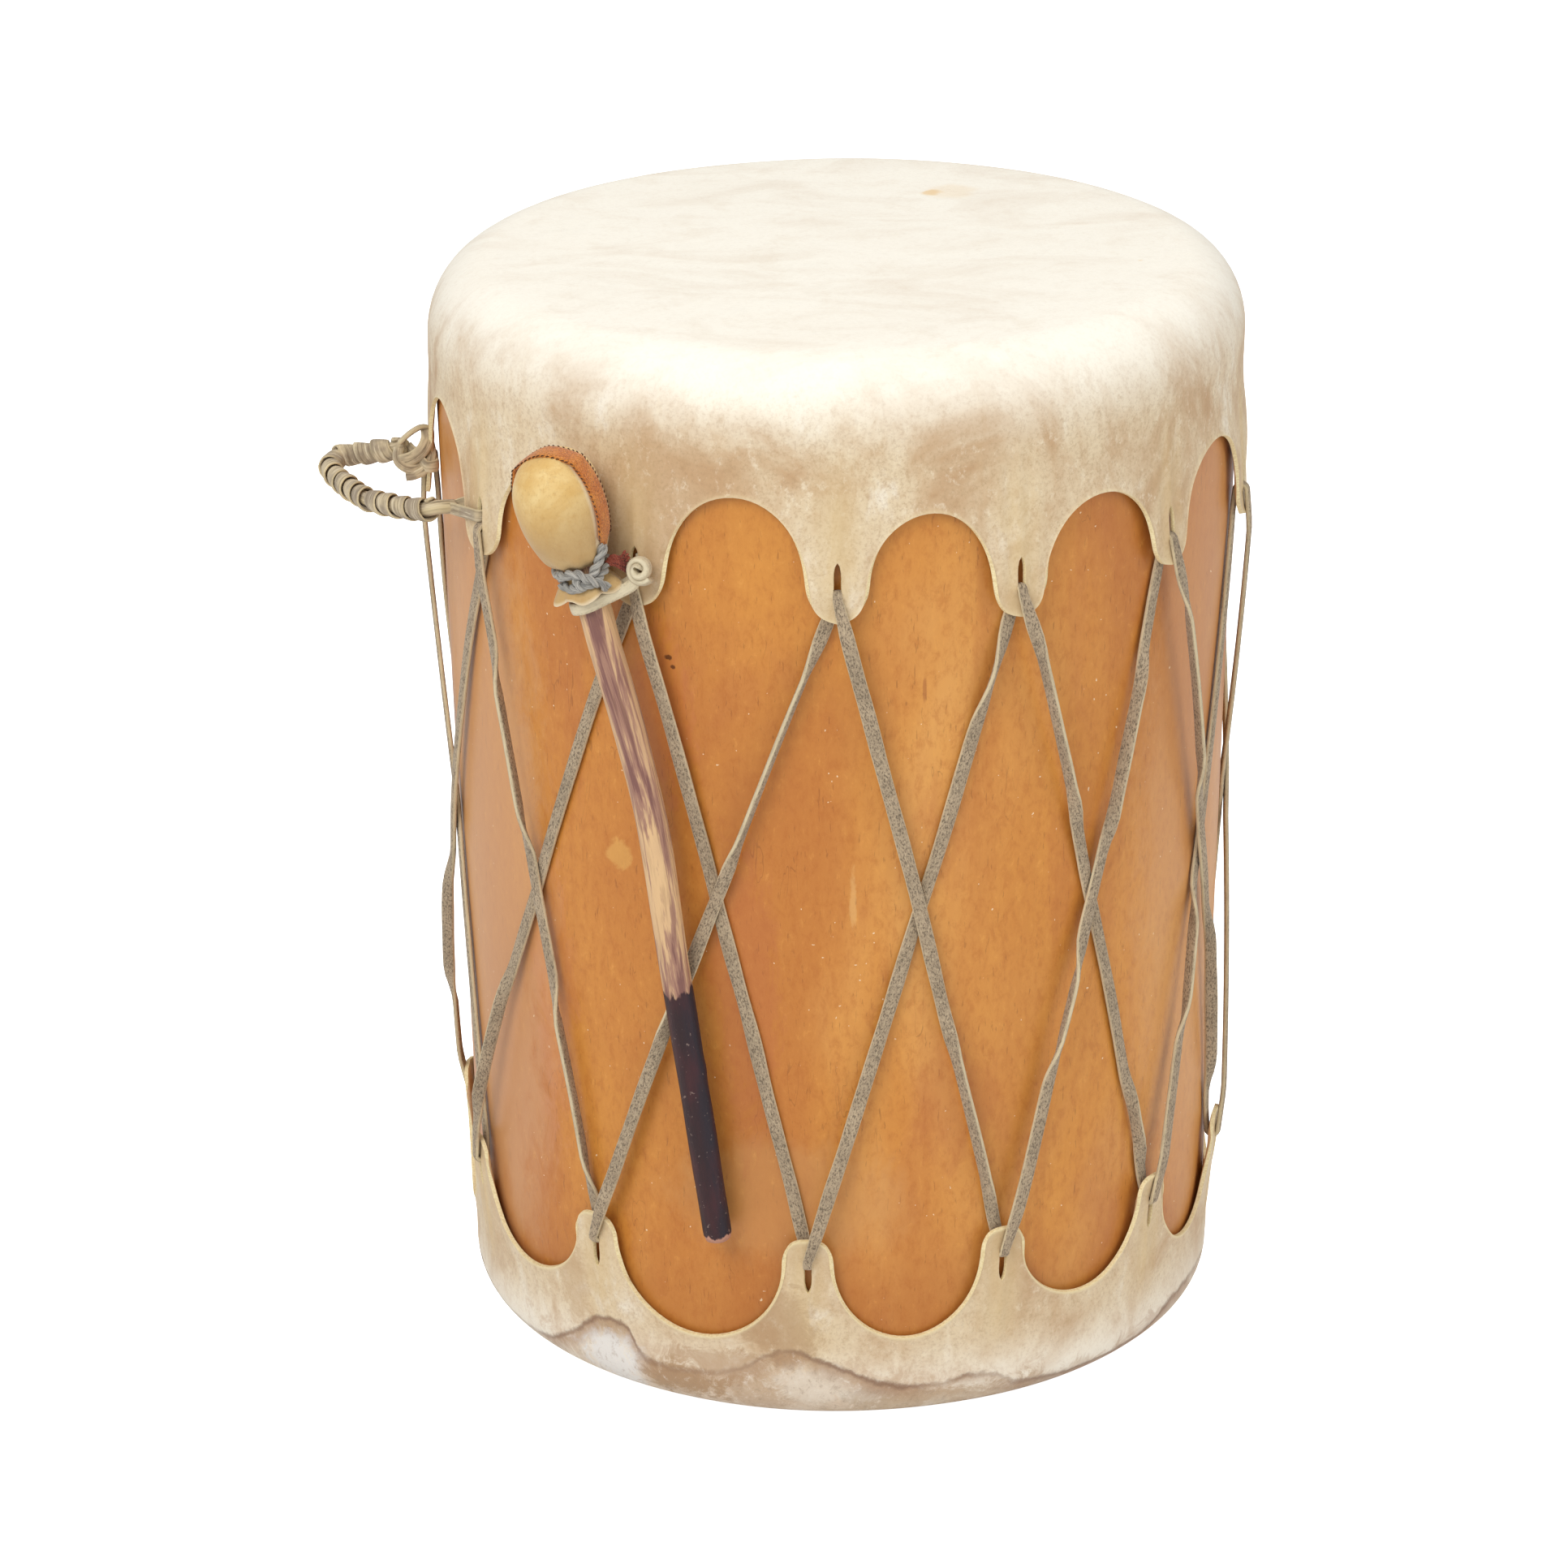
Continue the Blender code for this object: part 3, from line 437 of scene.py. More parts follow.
def wood_finish():
    c = colours()
    f = Finish("varnished log", 0.4, 0.3, coat_weight=0.1, coat_roughness=0.25)
    zones = f.noise(9, 4, (1, 1, 0.4), rough=0.5, swirl=0.8)
    grain = f.noise(60, 5, (1, 1, 0.07), rough=0.62, swirl=0.5)
    mottle = f.noise(240, 5, (1, 1, 0.55), rough=0.75, swirl=0.3)
    f.paint = f.mix(f.span(zones, 0.3, 0.7), c.wood_dark, c.wood)
    f.bands((f.noise(6.5, 4, (1, 1, 0.45), swirl=1.0), 0.48, 0.82, 0.8, c.wood_light),
            (f.noise(13, 4, (1, 1, 0.3), rough=0.6, swirl=1.4), 0.52, 0.76, 0.5, (184, 110, 60)),
            (grain, 0.48, 0.76, 0.45, c.wood_dark),
            (mottle, 0.44, 0.7, 0.42, (176, 98, 36)),
            (mottle, 0.44, 0.26, 0.4, (230, 164, 80)),
            (f.noise(800, 3, (1, 1, 0.16), rough=0.6), 0.62, 0.72, 0.42, (132, 72, 30)))
    scratch = f.less(f.noise(95, 3, (1, 0.35, 0.2), rough=0.5, swirl=0.4), 0.62)
    thin = f.span(f.math("ABSOLUTE", scratch), 0.006, 0.001)
    f.lay(f.times(thin, f.span(f.noise(24, 2), 0.5, 0.62, 0, 0.35)), (112, 58, 24))
    f.bands((f.noise(420, 1), 0.78, 0.8, 0.85, (244, 222, 184)))
    # Real marks on the wood, and painted sheen down its sides.
    f.marks(WOOD_MARKS_AND_SHEEN, f.ragged(3.2, 70, 5, (1, 1, 0.5), rough=0.75, swirl=0.8), steady=5.5)
    # Painted shade: the wood is darkened towards the edges of both skirts, where the hide overhangs
    # it.
    z = f.split(f.place)[2]
    skirts = f.math("MAXIMUM", f.span(z, 0.385, 0.44), f.span(z, 0.088, 0.045))
    f.lay(f.times(skirts, 0.22), (172, 108, 50))
    f.bump(f.plus(grain, f.times(mottle, 0.8)), 0.2, 0.0006)
    return f.done()


def hide_finish(name, head):
    """Rawhide: pale over the drum's end, tan and mottled down the skirt."""
    c = colours()
    f = Finish(name, 0.5, 0.4)
    x, y, z = f.split(f.place)
    top = head.way > 0
    depth = f.less(sizes().height, z) if top else z
    blotch = f.noise(19, 5, (0.7, 1.3, 0.8), rough=0.62, swirl=0.9)
    cloud = f.noise(48, 5, (1, 1, 0.5), rough=0.68, swirl=0.4)
    mottle = f.noise(190, 5, (1, 1, 0.7), rough=0.75)
    fine = f.noise(620, 3, rough=0.75)
    down = f.span(depth, 0.003, 0.045)
    f.paint = f.mix(down, c.hide, c.hide_skirt)
    weight = f.plus(f.times(down, 0.85 if top else 0.7), 0.17)
    f.bands((blotch, 0.42, 0.7, 1, c.hide_tan), (cloud, 0.5, 0.74, 0.75, (204, 172, 132)),
            weight=weight)
    f.lay(f.times(f.span(cloud, 0.48, 0.3), f.span(blotch, 0.58, 0.4, 0, 0.6)), (246, 240, 226))
    f.bands((mottle, 0.5, 0.72, 0.5, (186, 152, 112)), (mottle, 0.46, 0.3, 0.5, (244, 232, 206)),
            (fine, 0.45, 0.7, 0.4, (172, 140, 102)), weight=weight)
    f.lay(f.times(f.attribute("tab"), f.span(cloud, 0.3, 0.6, 0.25, 0.6)), (212, 184, 134))
    if top:
        uneven = f.less(f.times(f.noise(60, 4, swirl=1.0), 0.012), 0.006)
        for place, reach, share in HEAD_STAINS:
            far = f.far(f.less(x, place[0]), f.less(y, place[1]))
            f.bands((f.plus(far, uneven), reach, reach * 0.4, share, (232, 190, 118)))
    else:
        bottom_stains(f, z)
    f.lay(f.times(f.attribute("edge"), 0.35 if top else 0.75), c.hide_edge)
    f.bump(f.plus(f.times(fine, 0.35), f.plus(cloud, blotch)), 0.3, 0.0008)
    return f.done()


def bottom_stains(f, z):
    """The brown crease line, darker in a soft band below it, and patches round the foot of the
    drum.
    """
    f.marks(BASE_MARKS, f.ragged(3.0, 80, 6, rough=0.78, swirl=0.7))
    x, y, _ = f.split(f.place)
    azimuth = f.math("ARCTAN2", x, f.times(y, -1.0))
    curve = f.add("ShaderNodeFloatCurve",
                  {"Value": f.plus(f.math("DIVIDE", azimuth, math.tau), 0.5)})
    line = curve.mapping.curves[0]
    for end, (_, level) in ((0, CREASE_LINE[0]), (1, CREASE_LINE[-1])):
        line.points[end].location = (end, level / LINE_FULL)
    for degrees, level in CREASE_LINE[1:-1]:
        line.points.new(degrees / 360 + 0.5, level / LINE_FULL)
    curve.mapping.update()
    level = f.plus(f.times(curve.outputs[0], LINE_FULL * MM), f.ragged(0.006, 150, 4, rough=0.7))
    below = f.less(level, z)
    # Darker in a soft band below the crease line, then the line's dark core.
    thick = f.span(f.noise(22, 2), 0.35, 0.65, 0.35, 1.0)
    shade = f.times(f.times(f.span(below, -0.0014, 0.0004), f.span(below, 0.012, 0.0002)), thick)
    f.lay(f.times(shade, 0.7), (160, 120, 86))
    core = f.times(f.span(f.math("ABSOLUTE", below), 0.0024, 0.0002), thick)
    f.lay(f.times(core, 0.6), (116, 84, 64))
    grit = f.noise(230, 6, rough=0.8, swirl=0.4)
    f.bands((grit, 0.5, 0.68, 0.5, (158, 132, 108)), (grit, 0.46, 0.32, 0.5, (238, 230, 218)),
            weight=f.span(below, -0.002, 0.006))


def cut_finish():
    f = Finish("cut rawhide edge", 0.6, 0.3)
    layers = f.noise(800, 3, (1, 1, 2))
    f.paint = f.mix(f.span(layers, 0.35, 0.7), colours().hide_edge, (222, 200, 150))
    f.bump(layers, 0.3, 0.0003)
    return f.done()


def thong_finish(name, face, side, contrast=1.0):
    """Suede thong: a speckled face with paler cut sides, on coordinates along its run."""
    def shaded(amount):
        return (*(value * amount for value in face[:3]), 1)
    f = Finish(name, 0.9, 0.15, sheen_weight=0.15)
    run = f.attribute("run", "Vector")
    speck = f.noise(1500, 3, (1, 1, 0.55), run, rough=0.75)
    lines = f.noise(1100, 3, (1, 1, 0.12), run)
    f.paint = f.mix(f.span(f.noise(45, 3, (1, 1, 1), run), 0.3, 0.7), face, shaded(1.35))
    f.bands((speck, 0.48, 0.62, 0.85 * contrast, shaded(0.36)),
            (speck, 0.44, 0.3, 0.5 * contrast, side))
    f.lay(f.times(f.attribute("edge"), f.span(lines, 0.3, 0.6, 0.55, 0.95)), side)
    f.bump(f.plus(speck, lines), 0.5, 0.0004)
    return f.done()


def wrap_finish():
    f = Finish("handle thong", 0.85, 0.2, sheen_weight=0.15)
    lines = f.noise(900, 4, (1, 1, 0.07), f.attribute("run", "Vector"), rough=0.7)
    f.paint = f.mix(f.span(f.noise(90, 3), 0.38, 0.62), (202, 184, 150), (158, 142, 120))
    f.bands((lines, 0.5, 0.66, 0.8, (122, 106, 84)), (lines, 0.46, 0.34, 0.7, (228, 214, 184)))
    f.lay(f.times(f.attribute("edge"), 0.6), (222, 204, 162))
    f.bump(lines, 0.6, 0.0005)
    return f.done()


def buckskin_finish():
    f = Finish("buckskin", 0.7, 0.25, sheen_weight=0.2)
    fine = f.noise(1100, 3, (1, 1, 0.6), rough=0.7)
    pores = f.noise(260, 4, rough=0.65)
    f.paint = f.mix(f.span(f.noise(55, 4, swirl=0.5), 0.35, 0.68), colours().buckskin,
                    (230, 202, 142))
    # The rise row is painted shade: the cover is darker towards the neck, and the frill, set low,
    # is darker all over.
    f.bands((pores, 0.5, 0.76, 0.6, (204, 158, 84)), (fine, 0.5, 0.72, 0.3, (176, 136, 84)),
            (f.attribute("rise"), 0.85, 0.2, 0.68, (178, 144, 98)))
    f.lay(f.times(f.attribute("edge"), 0.7), (246, 232, 200))
    f.bump(f.plus(fine, f.times(pores, 2.0)), 0.35, 0.0004)
    return f.done()


def suede_finish():
    f = Finish("rust suede", 0.95, 0.1, sheen_weight=0.3)
    nap = f.noise(1500, 3, rough=0.8)
    f.paint = f.mix(f.span(f.noise(160, 3), 0.35, 0.65), colours().suede, (214, 134, 54))
    f.bands((nap, 0.5, 0.62, 0.8, (126, 64, 22)), (nap, 0.45, 0.34, 0.6, (232, 166, 90)))
    f.bump(nap, 0.9, 0.0006)
    return f.done()


def stick_finish():
    """Peeled wood above, bark below, with a ragged line between them."""
    c = colours()
    f = Finish("beater stick", 0.5, 0.4)
    run, along = f.attribute("run", "Vector"), f.attribute("along")
    f.paint = f.mix(f.span(f.split(run)[0], 0.002, -0.006), c.bark, (34, 30, 42))
    f.bands((f.noise(120, 4, (1, 1, 0.3), run), 0.4, 0.7, 0.6, (72, 30, 34)),
            (f.noise(520, 2, (1, 1, 1), run), 0.66, 0.74, 0.6, (150, 128, 118)))
    bark = f.paint
    streak = f.noise(190, 5, (1, 1, 0.075), run, rough=0.62, swirl=0.5)
    fine = f.noise(600, 3, (1, 1, 0.08), run)
    f.paint = f.mix(f.span(f.noise(40, 2, (1, 1, 0.5), run), 0.4, 0.6), c.peeled, (222, 184, 136))
    f.bands((streak, 0.47, 0.53, 0.8, (152, 108, 96)), (streak, 0.53, 0.62, 0.75, (112, 70, 68)),
            (fine, 0.5, 0.7, 0.35, (150, 112, 84)))
    ragged = f.ragged(0.016, 300, 3, (1, 1, 0.3), run)
    f.lay(f.span(f.plus(along, ragged), 0.187, 0.189), bark)
    f.lay(f.span(f.plus(along, f.times(ragged, 0.35)), 0.3035, 0.3045), (190, 138, 116))
    f.bump(f.plus(streak, fine), 0.5, 0.0006)
    return f.done()


def fibre_finish(name, light, dark):
    f = Finish(name, 0.9, 0.15, sheen_weight=0.2)
    strands = f.noise(1300, 3, (1, 1, 0.14), f.attribute("run", "Vector"), rough=0.7)
    f.paint = f.mix(f.span(strands, 0.35, 0.66), light, dark)
    f.bump(strands, 0.8, 0.0005)
    return f.done()


# Shapes


def shown(bm, name, materials):
    """Turn a bmesh into an object with its materials."""
    mesh = bpy.data.meshes.new(name)
    bm.to_mesh(mesh)
    bm.free()
    for material in materials:
        mesh.materials.append(material)
    piece = bpy.data.objects.new(name, mesh)
    bpy.context.scene.collection.objects.link(piece)
    return piece


def placed(bm, name, slot_name, nodes, *materials):
    """Turn a bmesh into a finished piece that stands for CAD nodes."""
    piece = shown(bm, name, materials)
    piece.data.shade_smooth()
    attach(piece, "root")
    if nodes:
        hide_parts(*nodes)
    return piece


def grid_of(bm, wide, tall):
    """A new grid's vertices by their place in it, from (0, 0) to (wide, tall)."""
    made = bmesh.ops.create_grid(bm, x_segments=wide, y_segments=tall, size=1)["verts"]
    return {(round((vert.co.x + 1) / 2 * wide), round((vert.co.y + 1) / 2 * tall)): vert
            for vert in made}


def layers_of(bm, names):
    """The named vertex layers, made where they are missing; "run" holds vectors."""
    found = {}
    for name in names:
        kind = bm.verts.layers.float_vector if name == "run" else bm.verts.layers.float
        if name not in kind:
            kind.new(name)
    for name in names:
        kind = bm.verts.layers.float_vector if name == "run" else bm.verts.layers.float
        found[name] = kind[name]
    return found


def rolled(bm, rings, closed=False, values=None, capped=True):
    """Roll a grid into a tube whose cross sections are rings of points.

    values holds, for each named layer, a function of the section and the point in it.
    """
    values = values or {}
    count, around = len(rings), len(rings[0])
    layers = layers_of(bm, values)
    grid = grid_of(bm, count if closed else count - 1, around)
    for (i, j), vert in grid.items():
        i, j = i % count, j % around
        for name, layer in layers.items():
            vert[layer] = values[name](i, j)
        vert.co = rings[i][j]
    faces = list({face for vert in grid.values() for face in vert.link_faces})
    bmesh.ops.remove_doubles(bm, verts=list(grid.values()), dist=MERGE)
    faces = [face for face in faces if face.is_valid]
    if capped and not closed:
        rims = {edge for face in faces for edge in face.edges if edge.is_boundary}
        bmesh.ops.holes_fill(bm, edges=list(rims), sides=0)
        faces = bm.faces
    bmesh.ops.recalc_face_normals(bm, faces=list(faces))


def section(width, thickness, points=14, square=3.2):
    """A rounded flat section: half sizes are width / 2 and thickness / 2."""
    outline = []
    for k in range(points):
        angle = math.tau * (k + 0.5) / points
        c, s = math.cos(angle), math.sin(angle)
        outline.append((math.copysign(abs(c) ** (2 / square), c) * width / 2,
                        math.copysign(abs(s) ** (2 / square), s) * thickness / 2))
    return outline


def curve_through(points, step):
    """A smooth line through points, with a point every step."""
    points = [Vector(point) for point in points]
    line = []
    for k in range(len(points) - 1):
        a, b = points[k], points[k + 1]
        before = points[k - 1] if k else a * 2 - b
        after = points[k + 2] if k + 2 < len(points) else b * 2 - a
        steps = max(1, round((b - a).length / step))
        bend = 2 * before - 5 * a + 4 * b - after
        for n in range(steps):
            t = n / steps
            line.append(0.5 * (2 * a + (b - before) * t + bend * t * t
                               + (3 * a - before - 3 * b + after) * t ** 3))
    return line + [points[-1]]


def heading(points, k, closed=False):
    """The unit direction of a line at one of its points."""
    before = points[k - 1 if closed or k else 0]
    after = points[(k + 1) % len(points) if closed else min(k + 1, len(points) - 1)]
    return (after - before).normalized()


def travelled(points):
    """How far along a line each of its points lies."""
    far = [0]
    for a, b in zip(points, points[1:]):
        far.append(far[-1] + (b - a).length)
    return far


def swept(bm, points, facings, outlines, closed=False, edge_from=0.8):
    """Sweep sections along a line. facings is a direction, or one for each point."""
    if isinstance(facings, Vector):
        facings = [facings] * len(points)
    if isinstance(outlines[0][0], (int, float)):
        outlines = [outlines] * len(points)
    along = travelled(points)
    rings = []
    for k, point in enumerate(points):
        way = heading(points, k, closed)
        normal = (facings[k] - way * way.dot(facings[k])).normalized()
        side = way.cross(normal)
        rings.append([point + side * a + normal * b for a, b in outlines[k]])

    def edge(i, j):
        across = abs(outlines[i][j][0]) / max(abs(a) for a, _ in outlines[i])
        return smooth((across - edge_from) / (1 - edge_from))

    rolled(bm, rings, closed, {"run": lambda i, j: (*outlines[i][j], along[i]), "edge": edge,
                               "along": lambda i, j: along[i]})


def carried(points, first):
    """A facing for each point of a line that turns with the line and doesn't twist."""
    facings = []
    normal = first
    for k in range(len(points)):
        way = heading(points, k)
        normal = (normal - way * way.dot(normal)).normalized()
        facings.append(normal)
    return facings


def ends_in(k, last, count):
    """0 at both ends of a line and 1 from the count-th point on."""
    return smooth(k / count) * smooth((last - k) / count)


# The log


def build_log():
    s = sizes()
    columns, rim_steps, side_steps, bore_steps = 288, 8, 40, 12
    lower, upper = ([head.rim(k / rim_steps, 0) for k in range(rim_steps + 1)]
                    for head in (BOTTOM, TOP))
    low, high = lower[-1][1], upper[-1][1]
    levels = [low + (high - low) * k / side_steps for k in range(1, side_steps)]
    inner = [Vector((wood_radius(level) - s.wall, level)) for level in (upper[0][1], lower[0][1])]
    bore = [inner[0].lerp(inner[1], k / bore_steps) for k in range(bore_steps + 1)]
    outside = [*lower, *((wood_radius(level), level) for level in levels), *reversed(upper)]
    rings = []
    for column in range(columns):
        way = outward(360 * column / columns)
        ring = []
        for k, (radius, level) in enumerate((*outside, *bore)):
            if k < len(outside):
                dip = 0.25 * MM + wobble((way.x, way.y, level * 2), 1.7, 0.3 * MM)
            else:
                dip = wobble((way.x * 3, way.y * 3, level * 8), 1.3, 1.6 * MM)
            if radius > s.radius_bottom * 0.9:
                dip = max(dip, 0)
            ring.append(way * (radius - dip) + UP * level)
        rings.append(ring)
    bm = bmesh.new()
    rolled(bm, rings, closed=True)
    placed(bm, "log_wall", "log_wood", ["log_shell"], wood_finish())


# The heads


def cut_edge(head, index):
    """The cut edge from one tab's tip to the next, as (azimuth, depth) at each column."""
    azimuth, width, tip, scallop = head.tabs[index]
    next_azimuth, next_width, next_tip = head.tabs[(index + 1) % TABS][:3]
    next_azimuth += 360 if index == TABS - 1 else 0
    half, next_half = (degrees_along(each / 2, head.height(tip)) for each in (width, next_width))
    corner_steps, bay_steps, rounded = 40, 120, 0.45
    shoulder, next_shoulder = tip - width * rounded, next_tip - next_width * rounded
    left, right = azimuth + half, next_azimuth - next_half
    square = 1 if head.way > 0 else 0.7
    fine = []

    def corner(k, middle, reach, level, size):
        angle = math.pi / 2 * k / corner_steps
        fine.append((middle + reach * math.sin(angle) ** square,
                     level + size * rounded * math.cos(angle) ** square))

    for k in range(corner_steps):
        corner(k, azimuth, half, shoulder, width)
    for k in range(bay_steps + 1):
        angle = math.pi * k / bay_steps
        share = (1 - math.cos(angle)) / 2
        base = shoulder + (next_shoulder - shoulder) * share
        fine.append((left + (right - left) * share,
                     base - (base - scallop) * math.sin(angle) ** 0.97))
    for k in reversed(range(corner_steps)):
        corner(k, next_azimuth, -next_half, next_shoulder, next_width)
    per_degree = math.radians(1) * wood_radius(head.height(tip))
    reach = [0]
    for a, b in zip(fine, fine[1:]):
        reach.append(reach[-1] + math.hypot((b[0] - a[0]) * per_degree, b[1] - a[1]))
    line, at = [], 0
    for k in range(STEPS + 1):
        target = reach[-1] * (k / STEPS - 0.07 * math.sin(math.tau * k / STEPS))
        while at < len(fine) - 2 and reach[at + 1] < target:
            at += 1
        share = (target - reach[at]) / (reach[at + 1] - reach[at])
        line.append([a + (b - a) * share for a, b in zip(fine[at], fine[at + 1])])
    for _ in range(10 if head.way > 0 else 4):
        middles = [[(a + 2 * b + c) / 4 for a, b, c in zip(*line[k - 1:k + 2])]
                   for k in range(1, STEPS)]
        line = [line[0], *middles, line[-1]]
    return line


def on_rim(head, azimuth, row, off):
    """A point of a head's flat middle or of its rounded rim."""
    if row <= DISC_ROWS:
        radius, level = head.rim(0, off)
        radius *= row / DISC_ROWS
    else:
        radius, level = head.rim((row - DISC_ROWS) / RIM_ROWS, off)
    point = outward(azimuth) * radius + UP * level
    relief = wobble(point, 14, 0.7 * MM)
    if head.way > 0:
        tilt = (point.x * 0.6 + point.y * 0.25) * 0.006
        point.z += relief * 0.6 + (tilt if row < DISC_ROWS + RIM_ROWS else 0)
    elif row > DISC_ROWS:
        point += outward(azimuth) * relief * 0.5
    return point


def head_surface(head, name, slot_name, node, finish):
    """A head as one grid, from its middle over the rim to the scalloped edge."""
    s = sizes()
    columns = STEPS * TABS
    off = GAP + s.skin
    first = DISC_ROWS + RIM_ROWS
    gaps = [value * MM for value in reversed(EDGE_ROWS)]
    start_depth = head.rim_end()
    lines = [cut_edge(head, index) for index in range(TABS)]
    bm = bmesh.new()
    layers = layers_of(bm, ("edge", "tab"))
    grid = grid_of(bm, columns, first + len(gaps))
    for (i, j), vert in grid.items():
        index, step = divmod(i % columns, STEPS)
        here, after = head.tabs[index], head.tabs[(index + 1) % TABS]
        share = step / STEPS
        pitch = (after[0] - here[0]) % 360
        azimuth = here[0] + pitch * share
        if j <= first:
            vert.co = on_rim(head, azimuth, j, off)
            continue
        edge_azimuth, edge_depth = lines[index][step]
        full = here[2] + (after[2] - here[2]) * share - start_depth
        span = edge_depth - start_depth
        gap = gaps[j - first - 1]
        kept = min(gap, EDGE_KEPT)
        gap = kept + (gap - kept) * (span - EDGE_KEPT) / (full - EDGE_KEPT)
        t = 1 - gap / span
        depth = start_depth + span * t
        azimuth += (edge_azimuth - azimuth) * smooth(t) ** 0.6 * t ** 0.35
        nearest, nearest_azimuth = (here, here[0]) if share < 0.5 else (after, here[0] + pitch)
        from_tab = abs(math.radians(azimuth - nearest_azimuth)) * wood_radius(head.height(depth))
        pull = math.exp(-(from_tab / (9 * MM)) ** 2) * smooth((depth - start_depth) / (35 * MM))
        fold = math.cos(min(from_tab / (4.5 * MM), 3) * math.pi) * 0.45 * MM * pull
        fold = max(fold, -0.2 * MM) * (1 if depth < nearest[2] - SLIT_TO_TIP else 0.4)
        out = off + head.lift(depth) - GAP + fold + 0.5 * MM * (1 - smooth(gap / (2.5 * MM)))
        out += max(wobble((azimuth * 0.06, depth * 30, head.way), 1.4, 0.9 * MM), -0.15 * MM)
        vert.co = on_wood(azimuth, out, head.height(depth))
        vert[layers["tab"]] = pull
        vert[layers["edge"]] = 1 - smooth(gap / (2.2 * MM))
    open_slits(bm, head, grid, columns)
    bmesh.ops.remove_doubles(bm, verts=bm.verts, dist=MERGE)
    bmesh.ops.recalc_face_normals(bm, faces=bm.faces)
    middle = UP * s.height / 2
    if sum(face.normal.dot(face.calc_center_median() - middle) for face in bm.faces) < 0:
        bmesh.ops.reverse_faces(bm, faces=bm.faces)
    piece = placed(bm, name, slot_name, [node], finish, cut_finish())
    given(piece.modifiers.new("hide thickness", "SOLIDIFY"), thickness=s.skin, offset=-1,
          material_offset_rim=1)
    given(piece.modifiers.new("worn edges", "BEVEL"), width=0.35 * MM, segments=2,
          limit_method="ANGLE", angle_limit=math.radians(50))


def open_slits(bm, head, grid, columns):
    """Split each tab's middle line and pull the slit open."""
    last = DISC_ROWS + RIM_ROWS + len(EDGE_ROWS)
    rows = [last - k for k in range(SLIT_ROWS[0], SLIT_ROWS[1] + 1)]
    for index in range(TABS):
        column = index * STEPS
        wide = 1.0 if head.way < 0 or index not in STRAP_TABS else 1.15
        spans = {row: opening * MM * wide for row, opening in zip(rows, SLIT_OPEN)}
        for row, span in spans.items():
            for near in range(1, SLIT_REACH):
                for side in (-1, 1):
                    vert = grid[(column + side * near) % columns, row]
                    vert.co = turned_by(vert.co, side * span * (1 - near / SLIT_REACH) ** 1.6)
        if column == 0:
            for row in rows[1:-1]:
                for side, vert in ((1, grid[0, row]), (-1, grid[columns, row])):
                    vert.co = turned_by(vert.co, side * spans[row])
            continue
        middles = {row: grid[column, row].co.copy() for row in rows[1:-1]}
        edges = [bm.edges.get((grid[column, a], grid[column, b])) for a, b in zip(rows, rows[1:])]
        bmesh.ops.split_edges(bm, edges=edges)
        for row, place in middles.items():
            for side in (-1, 1):
                beside = grid[column + side, row]
                for vert in [edge.other_vert(beside) for edge in beside.link_edges]:
                    if (vert.co - place).length < 0.001 * MM:
                        vert.co = turned_by(place, side * spans[row])


def build_heads():
    head_surface(TOP, "top_skin", "top_rawhide", "top_head", hide_finish("drumhead rawhide", TOP))
    head_surface(BOTTOM, "bottom_skin", "bottom_rawhide", "bottom_head",
                 hide_finish("base rawhide", BOTTOM))


# The lace


def slit_turn(head, index):
    """The lace's fold through a slit, from behind the tab to its front."""
    s = sizes()
    azimuth, height, middle = head.slit(index)
    radius = s.skin / 2 + 0.2 * MM + GAP + s.lace_thickness / 2
    route = []
    for step in range(11):
        angle = math.pi * step / 10
        point = on_wood(azimuth, middle - radius * math.cos(angle), height)
        point.z = height + head.way * radius * math.sin(angle)
        facing = towards(outward(azimuth) * head.way, -UP, angle)
        route.append((point, facing, s.lace_neck, 0))
    return route


def crossing_share(falling, index):
    """How far along its strand a crossing lies, for the pair that runs after tab index."""
    top, bottom = ((head.tabs[(index + 1) % TABS][0] - head.tabs[index][0]) % 360
                   for head in (TOP, BOTTOM))
    share = top / (top + bottom)
    return share if falling else 1 - share


def lace_twist(falling, index, share):
    """How far the lace is turned on edge, in degrees, at a share of a strand."""
    return sum(most * smooth((share - start) / 0.08) * smooth((end - share) / 0.08)
               for falls, tab, start, end, most in LACE_TWISTS if (falls, tab) == (falling, index))


def strand(start, index, end, next_index):
    """The lace's straight run from the front of one tab to behind the next."""
    s = sizes()
    falling = start.way > 0
    azimuth, height, hide = start.slit(index)
    end_azimuth, end_height, _ = end.slit(next_index)
    reach = (end_azimuth - azimuth + 180) % 360 - 180
    flat = GAP + s.lace_thickness / 2
    over = flat + ((index in OVER_AT_RISING) != falling) * (s.lace_thickness + GAP)
    tip_out = start.lift(start.tabs[index][2] + 2 * MM) + s.skin + flat + GAP * 2
    middle = crossing_share(falling, index)
    first = hide + s.skin / 2 + 0.5 * MM + flat
    stops = [(0.012, first), (0.058, tip_out), (middle - 0.035, over), (middle + 0.035, over),
             (0.925, flat + 0.1 * MM), (1, flat)]
    route = []
    steps = 56
    for step in range(1, steps):
        share = 0.012 + (0.976 * step / steps)
        a, b = next(pair for pair in zip(stops, stops[1:]) if share <= pair[1][0] + 1e-9)
        out = a[1] + (b[1] - a[1]) * (share - a[0]) / (b[0] - a[0])
        level = height + (end_height - height) * share
        here = azimuth + reach * share
        here += degrees_along(wobble((index * 3, share * 5, falling), 1.1, 0.9 * MM), level) \
            * smooth(share * 8) * smooth((1 - share) * 8)
        turn = lace_twist(falling, index, share)
        lean = abs(math.radians(turn))
        out += (math.sin(lean) * s.lace_width + (math.cos(lean) - 1) * s.lace_thickness) / 2
        pinch = smooth(share / 0.05) * smooth((1 - share) / 0.04)
        width = s.lace_neck + (s.lace_width - s.lace_neck) * pinch
        width *= 1 + wobble((index * 7, share * 9, falling * 5), 1.3, 0.12)
        route.append((on_wood(here, out, level), outward(here) * -start.way, width, turn))
    return route


